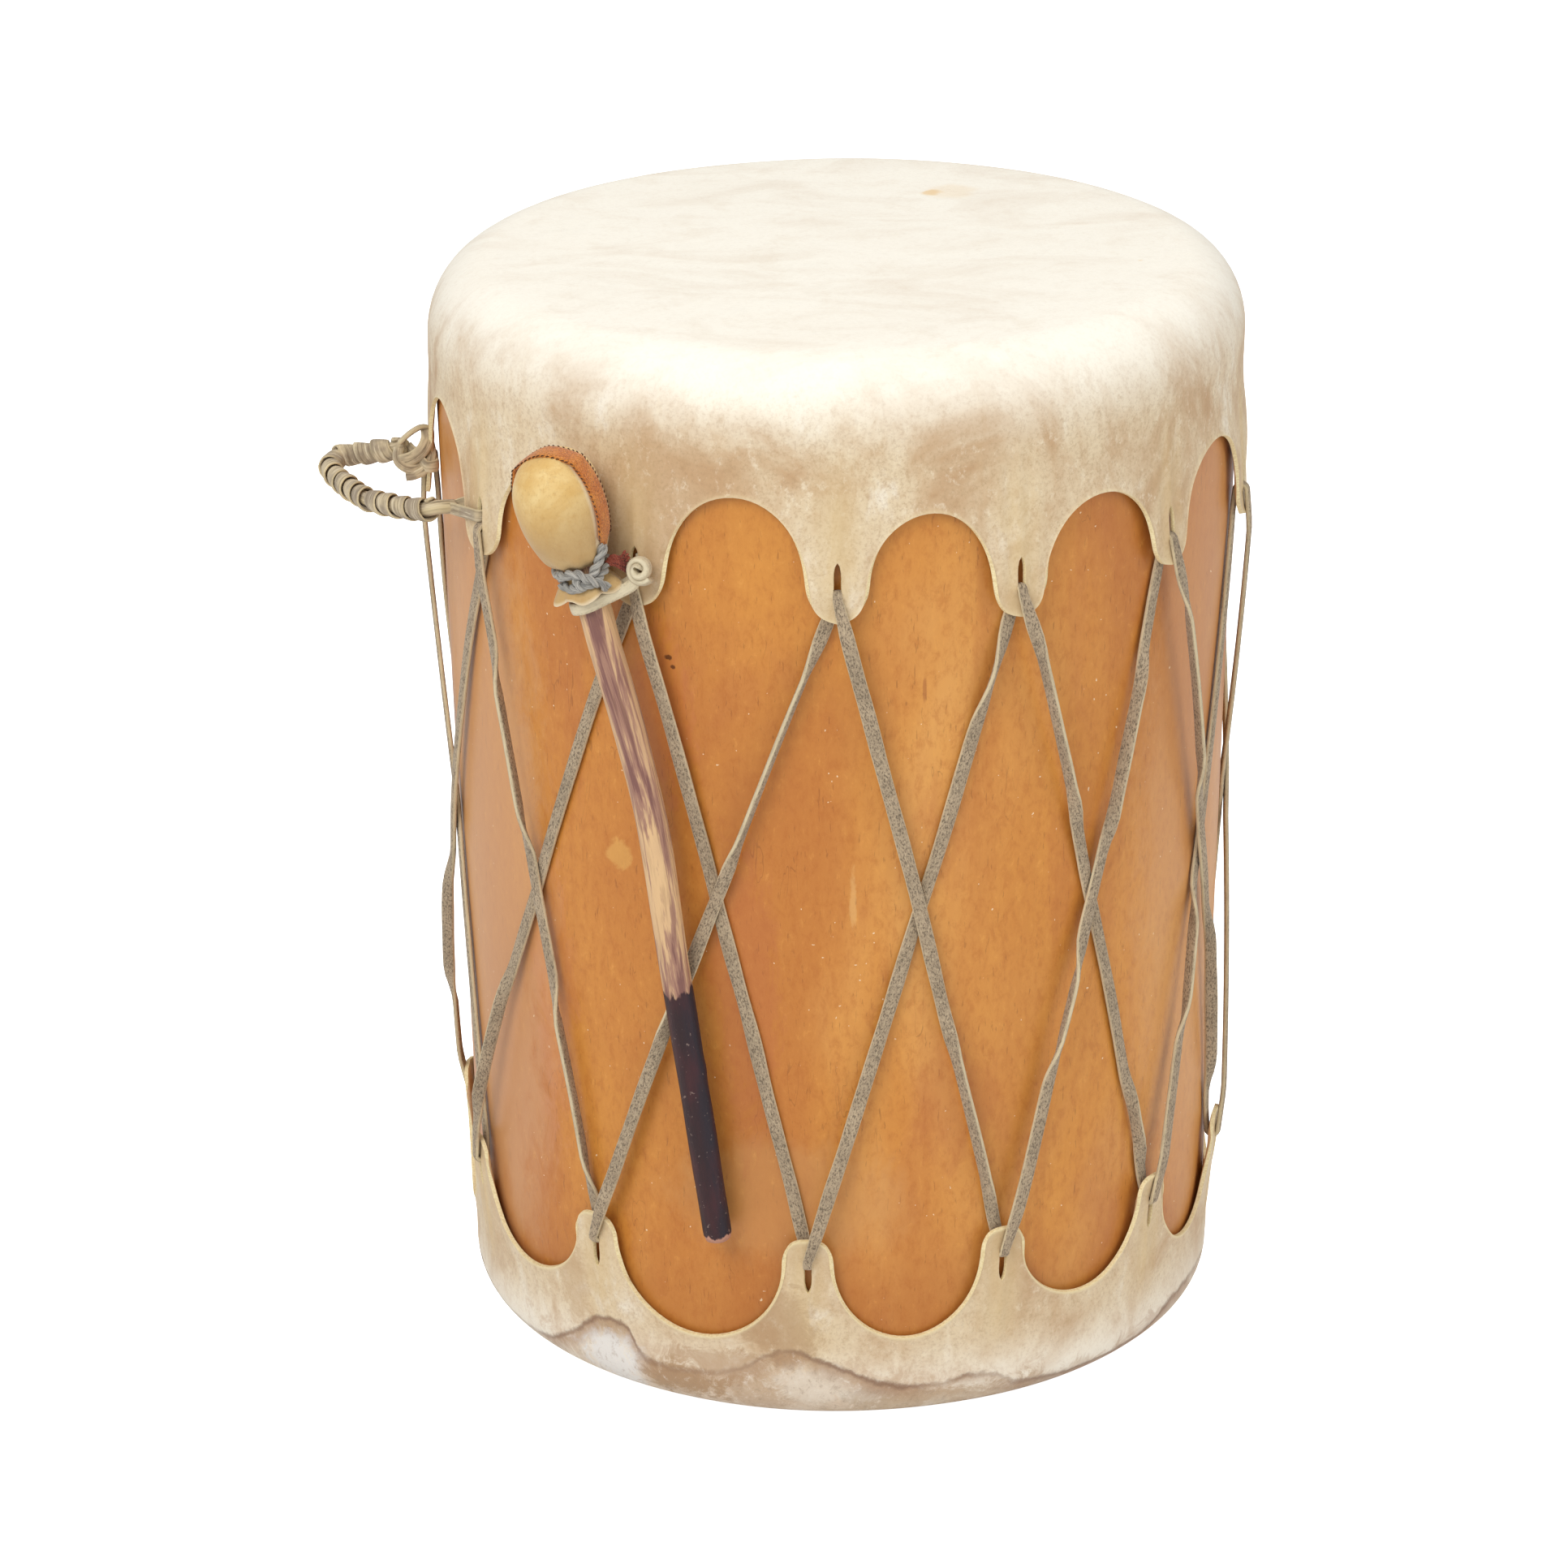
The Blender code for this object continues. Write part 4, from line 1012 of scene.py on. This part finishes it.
def build_lace():
    s, c = sizes(), colours()
    route = []
    for step in range(2 * TABS):
        index, next_index = (LACE_START + step) % TABS, (LACE_START + step + 1) % TABS
        start, end = (TOP, BOTTOM) if step % 2 == 0 else (BOTTOM, TOP)
        route += slit_turn(start, index) + strand(start, index, end, next_index)
    points = [stop[0] for stop in route]
    facings = [Matrix.Rotation(math.radians(turn), 3, heading(points, k, True)) @ facing
               for k, (_, facing, _, turn) in enumerate(route)]
    outlines = [section(width, s.lace_thickness * (1 + 0.1 * (1 - width / s.lace_width)))
                for _, _, width, _ in route]
    bm = bmesh.new()
    swept(bm, points, facings, outlines, closed=True, edge_from=0.86)
    lace_knot(bm)
    placed(bm, "zigzag_lace", "lace", ["lace"], thong_finish("lace suede", c.lace, c.lace_edge))


def lace_knot(bm):
    """The knot and two tails that end the lace, at the back."""
    s = sizes()
    centre = strand(TOP, LACE_START, BOTTOM, LACE_START + 1)[5][0]
    facing = outward(TOP_TABS[LACE_START][0])
    across = UP.cross(facing)
    thong = section(s.lace_neck, s.lace_thickness)
    off = placer(centre, across, facing, UP)
    coil = []
    for k in range(37):
        angle = math.tau * 1.5 * k / 36
        coil.append(off(math.cos(angle) * 3.4, math.sin(angle) * 3 + 0.8, (k / 36 - 0.5) * 7))
    swept(bm, coil, carried(coil, UP), thong)
    for way in (-1, 1):
        tail = [off(0, 1.5, 0), off(way * 3, 3, -5), off(way * 7, 2.5, -15), off(way * 9, 2, -26)]
        swept(bm, curve_through(tail, 2 * MM), facing, thong)


# The handle


def strap_loop(index, way, join, lies_on_tab):
    """A thong from a joining point through a tab's slit and back round the tab's edge."""
    azimuth, height, middle = TOP.slit(index, STRAP_RISE)
    fold, corner = 2.5 * MM, 3 * MM
    behind = middle - fold
    leg = outward(azimuth) * 1.6 * MM

    def beside(span, out):
        return on_wood(azimuth + way * degrees_along(span, height), out, height)

    points = [join + leg]
    if not lies_on_tab:
        points.append(beside(0, middle + 2 * fold))
    for angle in map(math.radians, range(0 if lies_on_tab else 90, 181, 30)):
        points.append(beside(fold * (1 - math.sin(angle)), middle + fold * math.cos(angle)))
    edge = TOP.tabs[index][1] / 2 + 3.2 * MM
    points.append(beside(edge / 2, behind))
    for angle in map(math.radians, range(0, 61 if lies_on_tab else 121, 30)):
        points.append(beside(edge + corner * math.sin(angle),
                             behind + corner * (1 - math.cos(angle))))
    return points + [join - leg]


def build_handle():
    s = sizes()
    route = curve_through([Vector(point) * MM for point in HANDLE_ROUTE], 1 * MM)
    facings = carried(route, UP)
    bm = bmesh.new()
    swept(bm, route, facings, section(6.2 * MM, 6.2 * MM, 12, 2), edge_from=0.99)
    per_turn, thickness = 22, 1.6 * MM
    first, last, gap_at, gap = 0.075, 0.955, 4.3, 0.016
    total, centre_radius = s.wraps * per_turn, s.wrap_radius - thickness / 2
    line, looks, outlines = [], [], []
    for k in range(total + 1):
        turn = k / per_turn
        at = (first + (last - first) * k / total + (gap if turn > gap_at else 0)) * (len(route) - 1)
        n = min(int(at), len(route) - 2)
        way = (route[n + 1] - route[n]).normalized()
        out = towards(facings[n], way.cross(facings[n]), math.tau * turn)
        swell = 1 + noise.noise(Vector((turn * 0.8, 3, 1))) * 0.14
        line.append(route[n].lerp(route[n + 1], at - n) + out * centre_radius * swell)
        looks.append(out + way * 0.19)
        wide = 8.6 + 1.4 * noise.noise(Vector((turn * 1.3, 9, 4)))
        wide *= 0.5 + 0.5 * ends_in(k, total, 8)
        outlines.append(section(wide * MM, thickness, 14, 2.6))
    swept(bm, line, looks, outlines)
    for index, way, join, lies in ((1, -1, route[1], True), (0, 1, route[-2], False)):
        points = curve_through(strap_loop(index, way, join, lies), 1.2 * MM)
        looks = [heading(points, k).cross(UP) for k in range(len(points))]
        swept(bm, points, looks, section(5.4 * MM, 2 * MM, 14, 2.8))
    rear_knot(bm, route[-1] + Vector((5.0, -1.5, 1.0)) * MM)
    placed(bm, "wrapped_handle", "handle_thong", ["handle"], wrap_finish())


def rear_knot(bm, knot):
    """The turns and the loose end where the handle is tied to the rear tab."""
    facing = Vector((knot.x, knot.y, 0)).normalized()
    along = UP.cross(facing)
    off = placer(knot, along, facing, UP)
    for wide, turn in KNOT_TURNS:
        line = curve_through([off(*place) for place in turn], 1 * MM)
        looks = carried(line, along if wide > 5 else UP)
        swept(bm, line, looks, section(wide * MM, 2.6 * MM, 14, 2.6))


# The beater


def pad_frame():
    """The padded end's axis, the way to the sewn strip's right side, and its front."""
    axis = (HEAD_TOP - NECK).normalized()
    side = (STRIP_SIDE - axis * axis.dot(STRIP_SIDE)).normalized()
    return axis, side, axis.cross(side)


def pad_point(share, angle, off=0.0):
    """A point on the padded end; angle 0 is on the sewn strip's right side."""
    axis, side, front = pad_frame()
    span = (HEAD_TOP - NECK).length - 3 * MM
    neck = 8.7 * MM
    bulge = math.sin(math.acos(1 - 2 * min(max(share, 0), 1))) ** 0.75
    bare = max(bulge * sizes().pad_radius * (0.94 + 0.12 * share), 0.0)
    radius = (bare ** 3 + (neck * smooth((0.35 - share) / 0.3)) ** 3) ** (1 / 3)
    out = towards(side, front, angle)
    full = 1 + 0.05 * abs(math.sin(angle)) ** 1.5 - 0.03 * abs(math.cos(angle)) ** 6
    point = NECK + axis * (3 * MM + span * share) + out * (radius * full + off)
    return point + axis * off * smooth((share - 0.6) / 0.4)


def build_pad():
    lengthways, around = 44, 64
    axis = pad_frame()[0]
    angles = [math.tau * j / around for j in range(around)]
    rises = [0.5 - 0.5 * math.cos(math.pi * k / lengthways) for k in range(lengthways + 1)]
    rings = []
    for share in rises:
        share = min(share, 0.9993)
        ring = []
        for angle in angles:
            point = pad_point(share, angle)
            gather = smooth((0.32 - share) / 0.3)
            ripple = wobble((angle, share * 2, 2), 1.3, 1.5)
            pleat = math.cos(angle * 11 + ripple) * 0.55 * MM * gather
            dent = wobble(point, 60, 0.9 * MM)
            out = (point - NECK - axis * (point - NECK).dot(axis)).normalized()
            ring.append(point + out * (pleat + dent * smooth((1 - share) * 4)))
        rings.append(ring)
    bm = bmesh.new()
    # rise carries the painted shade that darkens the cover towards the neck.
    rolled(bm, rings, values={
        "edge": lambda i, j: smooth((abs(math.cos(angles[j])) - 0.93) / 0.03) * 0.8,
        "rise": lambda i, j: rises[i]})
    pad = placed(bm, "beater_pad_cover", "buckskin", ["beater_pad"], buckskin_finish())


def strip_line(off):
    """The middle line of the sewn strip: up the right side, over the top and down the left."""
    axis = pad_frame()[0]
    shares = [min(0.12 + 0.88 * k / 40, 0.985) for k in range(41)]
    right = [pad_point(share, 0, off) for share in shares]
    left = [pad_point(share, math.pi, off) for share in reversed(shares)]
    top = NECK + axis * ((HEAD_TOP - NECK).length + off * 0.6)
    return curve_through(right[:-3:3] + [top] + left[4::3], 1 * MM)


def build_gusset():
    line = strip_line(0.35 * MM)
    last = len(line) - 1
    middle = NECK.lerp(HEAD_TOP, 0.5)
    looks = [(point - middle).normalized() for point in line]
    outlines = [section((3.0 + 7.0 * ends_in(k, last, 8)) * MM, 1.9 * MM, 18, 2.6)
                for k in range(last + 1)]
    bm = bmesh.new()
    swept(bm, line, looks, outlines)
    placed(bm, "beater_strip", "rust_suede", ["beater_gusset"], suede_finish())
    bm = bmesh.new()
    for edge_side in (-1, 1):
        for k in range(6, last - 6, 2):
            way, look = heading(line, k), looks[k]
            across = way.cross(look).normalized() * edge_side
            spot = line[k] + across * 5.05 * MM + look * 0.35 * MM
            half = way * 0.55 * MM + across * 0.35 * MM
            swept(bm, [spot - half, spot + look * 0.25 * MM, spot + half], look,
                  section(0.5 * MM, 0.5 * MM, 6, 2))
    placed(bm, "beater_stitches", "rust_suede", [],
           fibre_finish("dark thread", (86, 56, 34), (44, 28, 20)))


def build_stick():
    axis = (HEAD_TOP - NECK).normalized()
    route = [Vector(point) * MM for point in STICK_ROUTE]
    line = curve_through([NECK + axis * 29 * MM, NECK + axis * 10 * MM, NECK, *route], 2.5 * MM)
    neck_at = min(range(len(line)), key=lambda k: (line[k] - route[0]).length)
    outlines, total = [], len(line) - 1
    for k in range(total + 1):
        share = k / total
        radius = (7.1 - 0.9 * share) * MM * (1 - 0.12 * smooth((k - total + 1.2) / 1.2))
        ring = []
        for angle in (math.tau * j / 28 for j in range(28)):
            bumpy = 1 + wobble((math.cos(angle), math.sin(angle), share * 7), 1.2, 0.07)
            knot = math.exp(-((share - 0.76) / 0.012) ** 2)
            bumpy += knot * max(math.cos(angle - 2.6), 0) ** 3 * 0.1
            ring.append((math.cos(angle) * radius * bumpy, math.sin(angle) * radius * bumpy))
        outlines.append(ring)
    bm = bmesh.new()
    swept(bm, line, Vector((0, -1, 0)), outlines, edge_from=0.99)
    shift = travelled(line)[neck_at] - 22 * MM
    layer = bm.verts.layers.float["along"]
    for vert in bm.verts:
        vert[layer] -= shift
    placed(bm, "beater_handle_stick", "stick_wood", ["beater_stick"], stick_finish())


def cord(bm, points, radius, pitch=9 * MM):
    """A twisted cord of two plies."""
    line = curve_through(points, 0.7 * MM)
    looks = carried(line, Vector((0.3, -1, 0.1)))
    far = travelled(line)
    for ply in range(2):
        winding = []
        for k, point in enumerate(line):
            angle = math.tau * (far[k] / pitch + ply / 2)
            out = towards(looks[k], heading(line, k).cross(looks[k]), angle)
            winding.append(point + out * radius * 0.5)
        swept(bm, winding, carried(winding, looks[0]), section(radius * 1.15, radius * 1.15, 8, 2))


def build_tie():
    axis = pad_frame()[0]
    view = Vector((0.12, -1, 0.25))
    view = (view - axis * axis.dot(view)).normalized()
    at = placer(NECK, axis.cross(view), view, axis)
    bm = bmesh.new()
    ring = []
    for k in range(41):
        angle = math.radians(65 + 230 * k / 40)
        ring.append(at(11.0 * math.sin(angle), 11.0 * math.cos(angle), 1.5 + 0.7 * math.sin(k)))
    cord(bm, ring, 1.7 * MM)
    for radius, points in TIE_CORDS:
        cord(bm, [at(*point) for point in points], radius * MM)
    placed(bm, "neck_cord", "tie_cord", ["neck_tie"],
           fibre_finish("grey cord", (186, 182, 172), (122, 120, 116)))
    bm = bmesh.new()
    yarn = random.Random(5)
    for k in range(6):
        lean = yarn.uniform(-1.6, 1.6)
        wisp = [at(9.5, 5.5 + lean, 1), at(13.0, 5.6 + lean, 3.2 - k * 0.8),
                at(16.0 + lean, 4.8, 1 - k * 1.4), at(18.5 + lean * 1.4, 3.4, 2.5 - k * 1.5)]
        cord(bm, wisp, 0.75 * MM, 3 * MM)
    placed(bm, "red_yarn", "tie_cord", [],
           fibre_finish("red-brown yarn", (168, 88, 68), (104, 46, 38)))


def build_frill():
    """The cover's wavy edge below the tie."""
    axis, side, front = pad_frame()
    around, rows = 120, 12
    rings = []
    for share in (j / rows for j in range(rows + 1)):
        ring = []
        for angle in (math.tau * k / around for k in range(around)):
            wave = math.sin(angle * 5 + 0.8) + 0.6 * math.sin(angle * 8 + 2.1)
            wave += 0.3 * math.sin(angle * 13)
            radius = (8.4 + 5.2 * smooth(share) + wave * 1.35 * share ** 1.4) * MM
            drop = (0.5 + 9.4 * share + math.cos(angle * 6 + 1.2) * 1.1 * share) * MM
            out = towards(side, front, angle)
            ring.append(NECK + out * radius - axis * drop)
        rings.append(ring)
    bm = bmesh.new()
    # A rise of 0.2 gives the frill the painted shade of the cover's lower part.
    rolled(bm, rings, values={"edge": lambda i, j: smooth((i - rows + 2) / 2),
                              "rise": lambda i, j: 0.2}, capped=False)
    piece = placed(bm, "cover_frill", "buckskin", [], buckskin_finish())
    given(piece.modifiers.new("leather thickness", "SOLIDIFY"), thickness=1.1 * MM, offset=0)
    given(piece.modifiers.new("soft folds", "SUBSURF"), levels=1, render_levels=1)


def build_hanging_loop():
    """The noose round the stick, the rolled button knot and the thong through the slit."""
    first = Vector(STICK_ROUTE[0]) * MM
    axis = (NECK - first).normalized()
    centre = NECK - axis * 14 * MM
    radius = 8.9 * MM
    reach = BUTTON - centre
    side = (reach - axis * axis.dot(reach)).normalized()
    front = axis.cross(side)
    by_button = placer(BUTTON, side, axis, front)
    points = [by_button(-3.5, -0.5, 1.5), by_button(-6.5, -4.5, 1.2)]
    for step in range(17):
        angle = math.radians(40 + 280 * step / 16)
        rise = axis * (0.12 * radius * math.cos(angle))
        points.append(centre + towards(side, front, angle) * radius + rise)
    points += [by_button(-6.0, -5.5, -1.5), by_button(-3.0, -2.2, -1.5)]
    bm = bmesh.new()
    swept(bm, curve_through(points, 1.2 * MM), axis, section(1.8 * MM, 5.4 * MM, 14, 3))
    facing = (outward(TOP_TABS[2][0] + 6) + UP * 0.25).normalized()
    across = UP.cross(facing).normalized()
    up = facing.cross(across)
    coil, looks, deep = [], [], []
    turns, per_turn = 1.8, 30
    for k in range(int(turns * per_turn) + 1):
        angle = math.tau * k / per_turn + 0.6
        share = k / (turns * per_turn)
        look = towards(across, up, angle)
        spread = (0.5 + 4.9 * share ** 0.8) * MM
        looks.append(look)
        coil.append(BUTTON + look * spread + facing * (3.4 - 3.6 * share) * MM)
        deep.append(section((6.2 + 0.8 * math.sin(k * 0.4)) * MM, 3.4 * MM, 14, 2.2))
    swept(bm, coil, looks, deep, edge_from=0.7)
    azimuth, height, middle = TOP.slit(STRAP_TABS[2], STRAP_RISE)
    stem = [BUTTON - facing * 2 * MM, on_wood(azimuth, middle + 3 * MM, height),
            on_wood(azimuth, middle, height), on_wood(azimuth, 2.0 * MM, height + 1.0 * MM),
            on_wood(azimuth, 1.5 * MM, height + 5 * MM)]
    swept(bm, curve_through(stem, 1 * MM), across, section(3.2 * MM, 1.8 * MM, 12, 2.6))
    placed(bm, "hanging_loop", "loop_thong", ["beater_loop"],
           thong_finish("loop thong", srgb(190, 176, 146), srgb(222, 210, 180), 0.5))


# The stage


def build_stage():
    scene = bpy.context.scene
    bm = bmesh.new()
    bmesh.ops.create_grid(bm, x_segments=2, y_segments=2, size=9)
    pale = Finish("pale floor", 0.9, 0.1, emission_color=(1, 1, 1, 1))
    pale.feed(pale.shader.inputs["Emission Strength"],
              pale.add("ShaderNodeLightPath").outputs["Is Camera Ray"])
    pale.paint = (0.93, 0.93, 0.93, 1)
    shown(bm, "studio_floor", [pale.done()])
    world = bpy.data.worlds.new("soft studio")
    world.use_nodes = True
    sky = world.node_tree.nodes["Background"]
    sky.inputs["Color"].default_value = (1, 1, 1, 1)
    sky.inputs["Strength"].default_value = 0.53
    scene.world = world
    scene.view_settings.view_transform = "Standard"
    for name, place, size, power in (
            ("key light", (-1.1, -1.9, 2.3), 1.6, 42), ("side light", (2.1, -1.0, 1.5), 1.6, 12),
            ("top light", (0.2, 0.3, 2.6), 1.8, 11)):
        lamp = given(bpy.data.lights.new(name, "AREA"), shape="SQUARE", size=size, energy=power)
        aim = Vector((0, 0, 0.25)) - Vector(place)
        scene.collection.objects.link(given(
            bpy.data.objects.new(name, lamp), location=place,
            rotation_euler=aim.to_track_quat("-Z", "Y").to_euler()))
    yaw, pitch, roll = -0.0103, 0.3672, -0.0092
    level = Vector((math.sin(yaw), math.cos(yaw), 0))
    look = towards(level, -UP, pitch)
    right = level.cross(UP)
    up = right.cross(look)
    sensor, focal_pixels, photo_pixels = 36, 7000, 1932
    data = given(bpy.data.cameras.new("photo view"), sensor_width=sensor,
                 lens=sensor * focal_pixels / photo_pixels)
    camera = bpy.data.objects.new("photo view", data)
    axes = towards(right, up, roll), towards(up, -right, roll), -look
    turn = Matrix(axes).transposed().to_4x4()
    camera.matrix_world = Matrix.Translation((0, -2.3856, 1.154)) @ turn
    scene.collection.objects.link(camera)
    scene.camera = camera


# The add-on


class DrumPart:
    """What every operator here shares."""
    bl_options = {"REGISTER", "UNDO"}

    def execute(self, context):
        for build in self.builds:
            build()
        return {"FINISHED"}


class DRUM_OT_log(DrumPart, bpy.types.Operator):
    """Turn the hollowed, varnished log"""
    bl_idname = "drum.log"
    bl_label = "Log"
    builds = (build_log,)


class DRUM_OT_heads(DrumPart, bpy.types.Operator):
    """Stretch the two rawhide heads with their slit tabs"""
    bl_idname = "drum.heads"
    bl_label = "Rawhide Heads"
    builds = (build_heads,)


class DRUM_OT_lace(DrumPart, bpy.types.Operator):
    """Run the lace in a zigzag between the heads"""
    bl_idname = "drum.lace"
    bl_label = "Lace"
    builds = (build_lace,)


class DRUM_OT_handle(DrumPart, bpy.types.Operator):
    """Wrap the carrying handle and tie it to its tabs"""
    bl_idname = "drum.handle"
    bl_label = "Carrying Handle"
    builds = (build_handle,)


class DRUM_OT_beater(DrumPart, bpy.types.Operator):
    """Make the beater: stick, padded end, sewn strip, frill and tie"""
    bl_idname = "drum.beater"
    bl_label = "Beater"
    builds = (build_stick, build_pad, build_gusset, build_frill, build_tie)


class DRUM_OT_hanging_loop(DrumPart, bpy.types.Operator):
    """Hang the beater in its thong loop with the button knot"""
    bl_idname = "drum.hanging_loop"
    bl_label = "Hanging Loop"
    builds = (build_hanging_loop,)


class DRUM_OT_stage(DrumPart, bpy.types.Operator):
    """Set the floor, the lights and the camera"""
    bl_idname = "drum.stage"
    bl_label = "Studio Stage"
    builds = (build_stage,)


PARTS = (DRUM_OT_stage, DRUM_OT_log, DRUM_OT_heads, DRUM_OT_lace, DRUM_OT_handle, DRUM_OT_beater,
         DRUM_OT_hanging_loop)


class DRUM_PT_panel(bpy.types.Panel):
    """The pieces of the drum"""
    bl_label = "Log Drum"
    bl_space_type = "VIEW_3D"
    bl_region_type = "UI"
    bl_category = "Log Drum"

    def draw(self, context):
        for part in PARTS:
            self.layout.operator(part.bl_idname)


CLASSES = (DrumSizes, DrumColours, *PARTS, DRUM_PT_panel)


def register():
    for each in CLASSES:
        bpy.utils.register_class(each)
    bpy.types.Scene.drum_sizes = PointerProperty(type=DrumSizes)
    bpy.types.Scene.drum_colours = PointerProperty(type=DrumColours)


def unregister():
    del bpy.types.Scene.drum_colours
    del bpy.types.Scene.drum_sizes
    for each in reversed(CLASSES):
        bpy.utils.unregister_class(each)


def main():
    register()
    for part in PARTS:
        group, name = part.bl_idname.split(".")
        if getattr(getattr(bpy.ops, group), name)() != {"FINISHED"}:
            raise RuntimeError(f"{part.bl_label} did not finish")


if __name__ == "__main__":
    main()
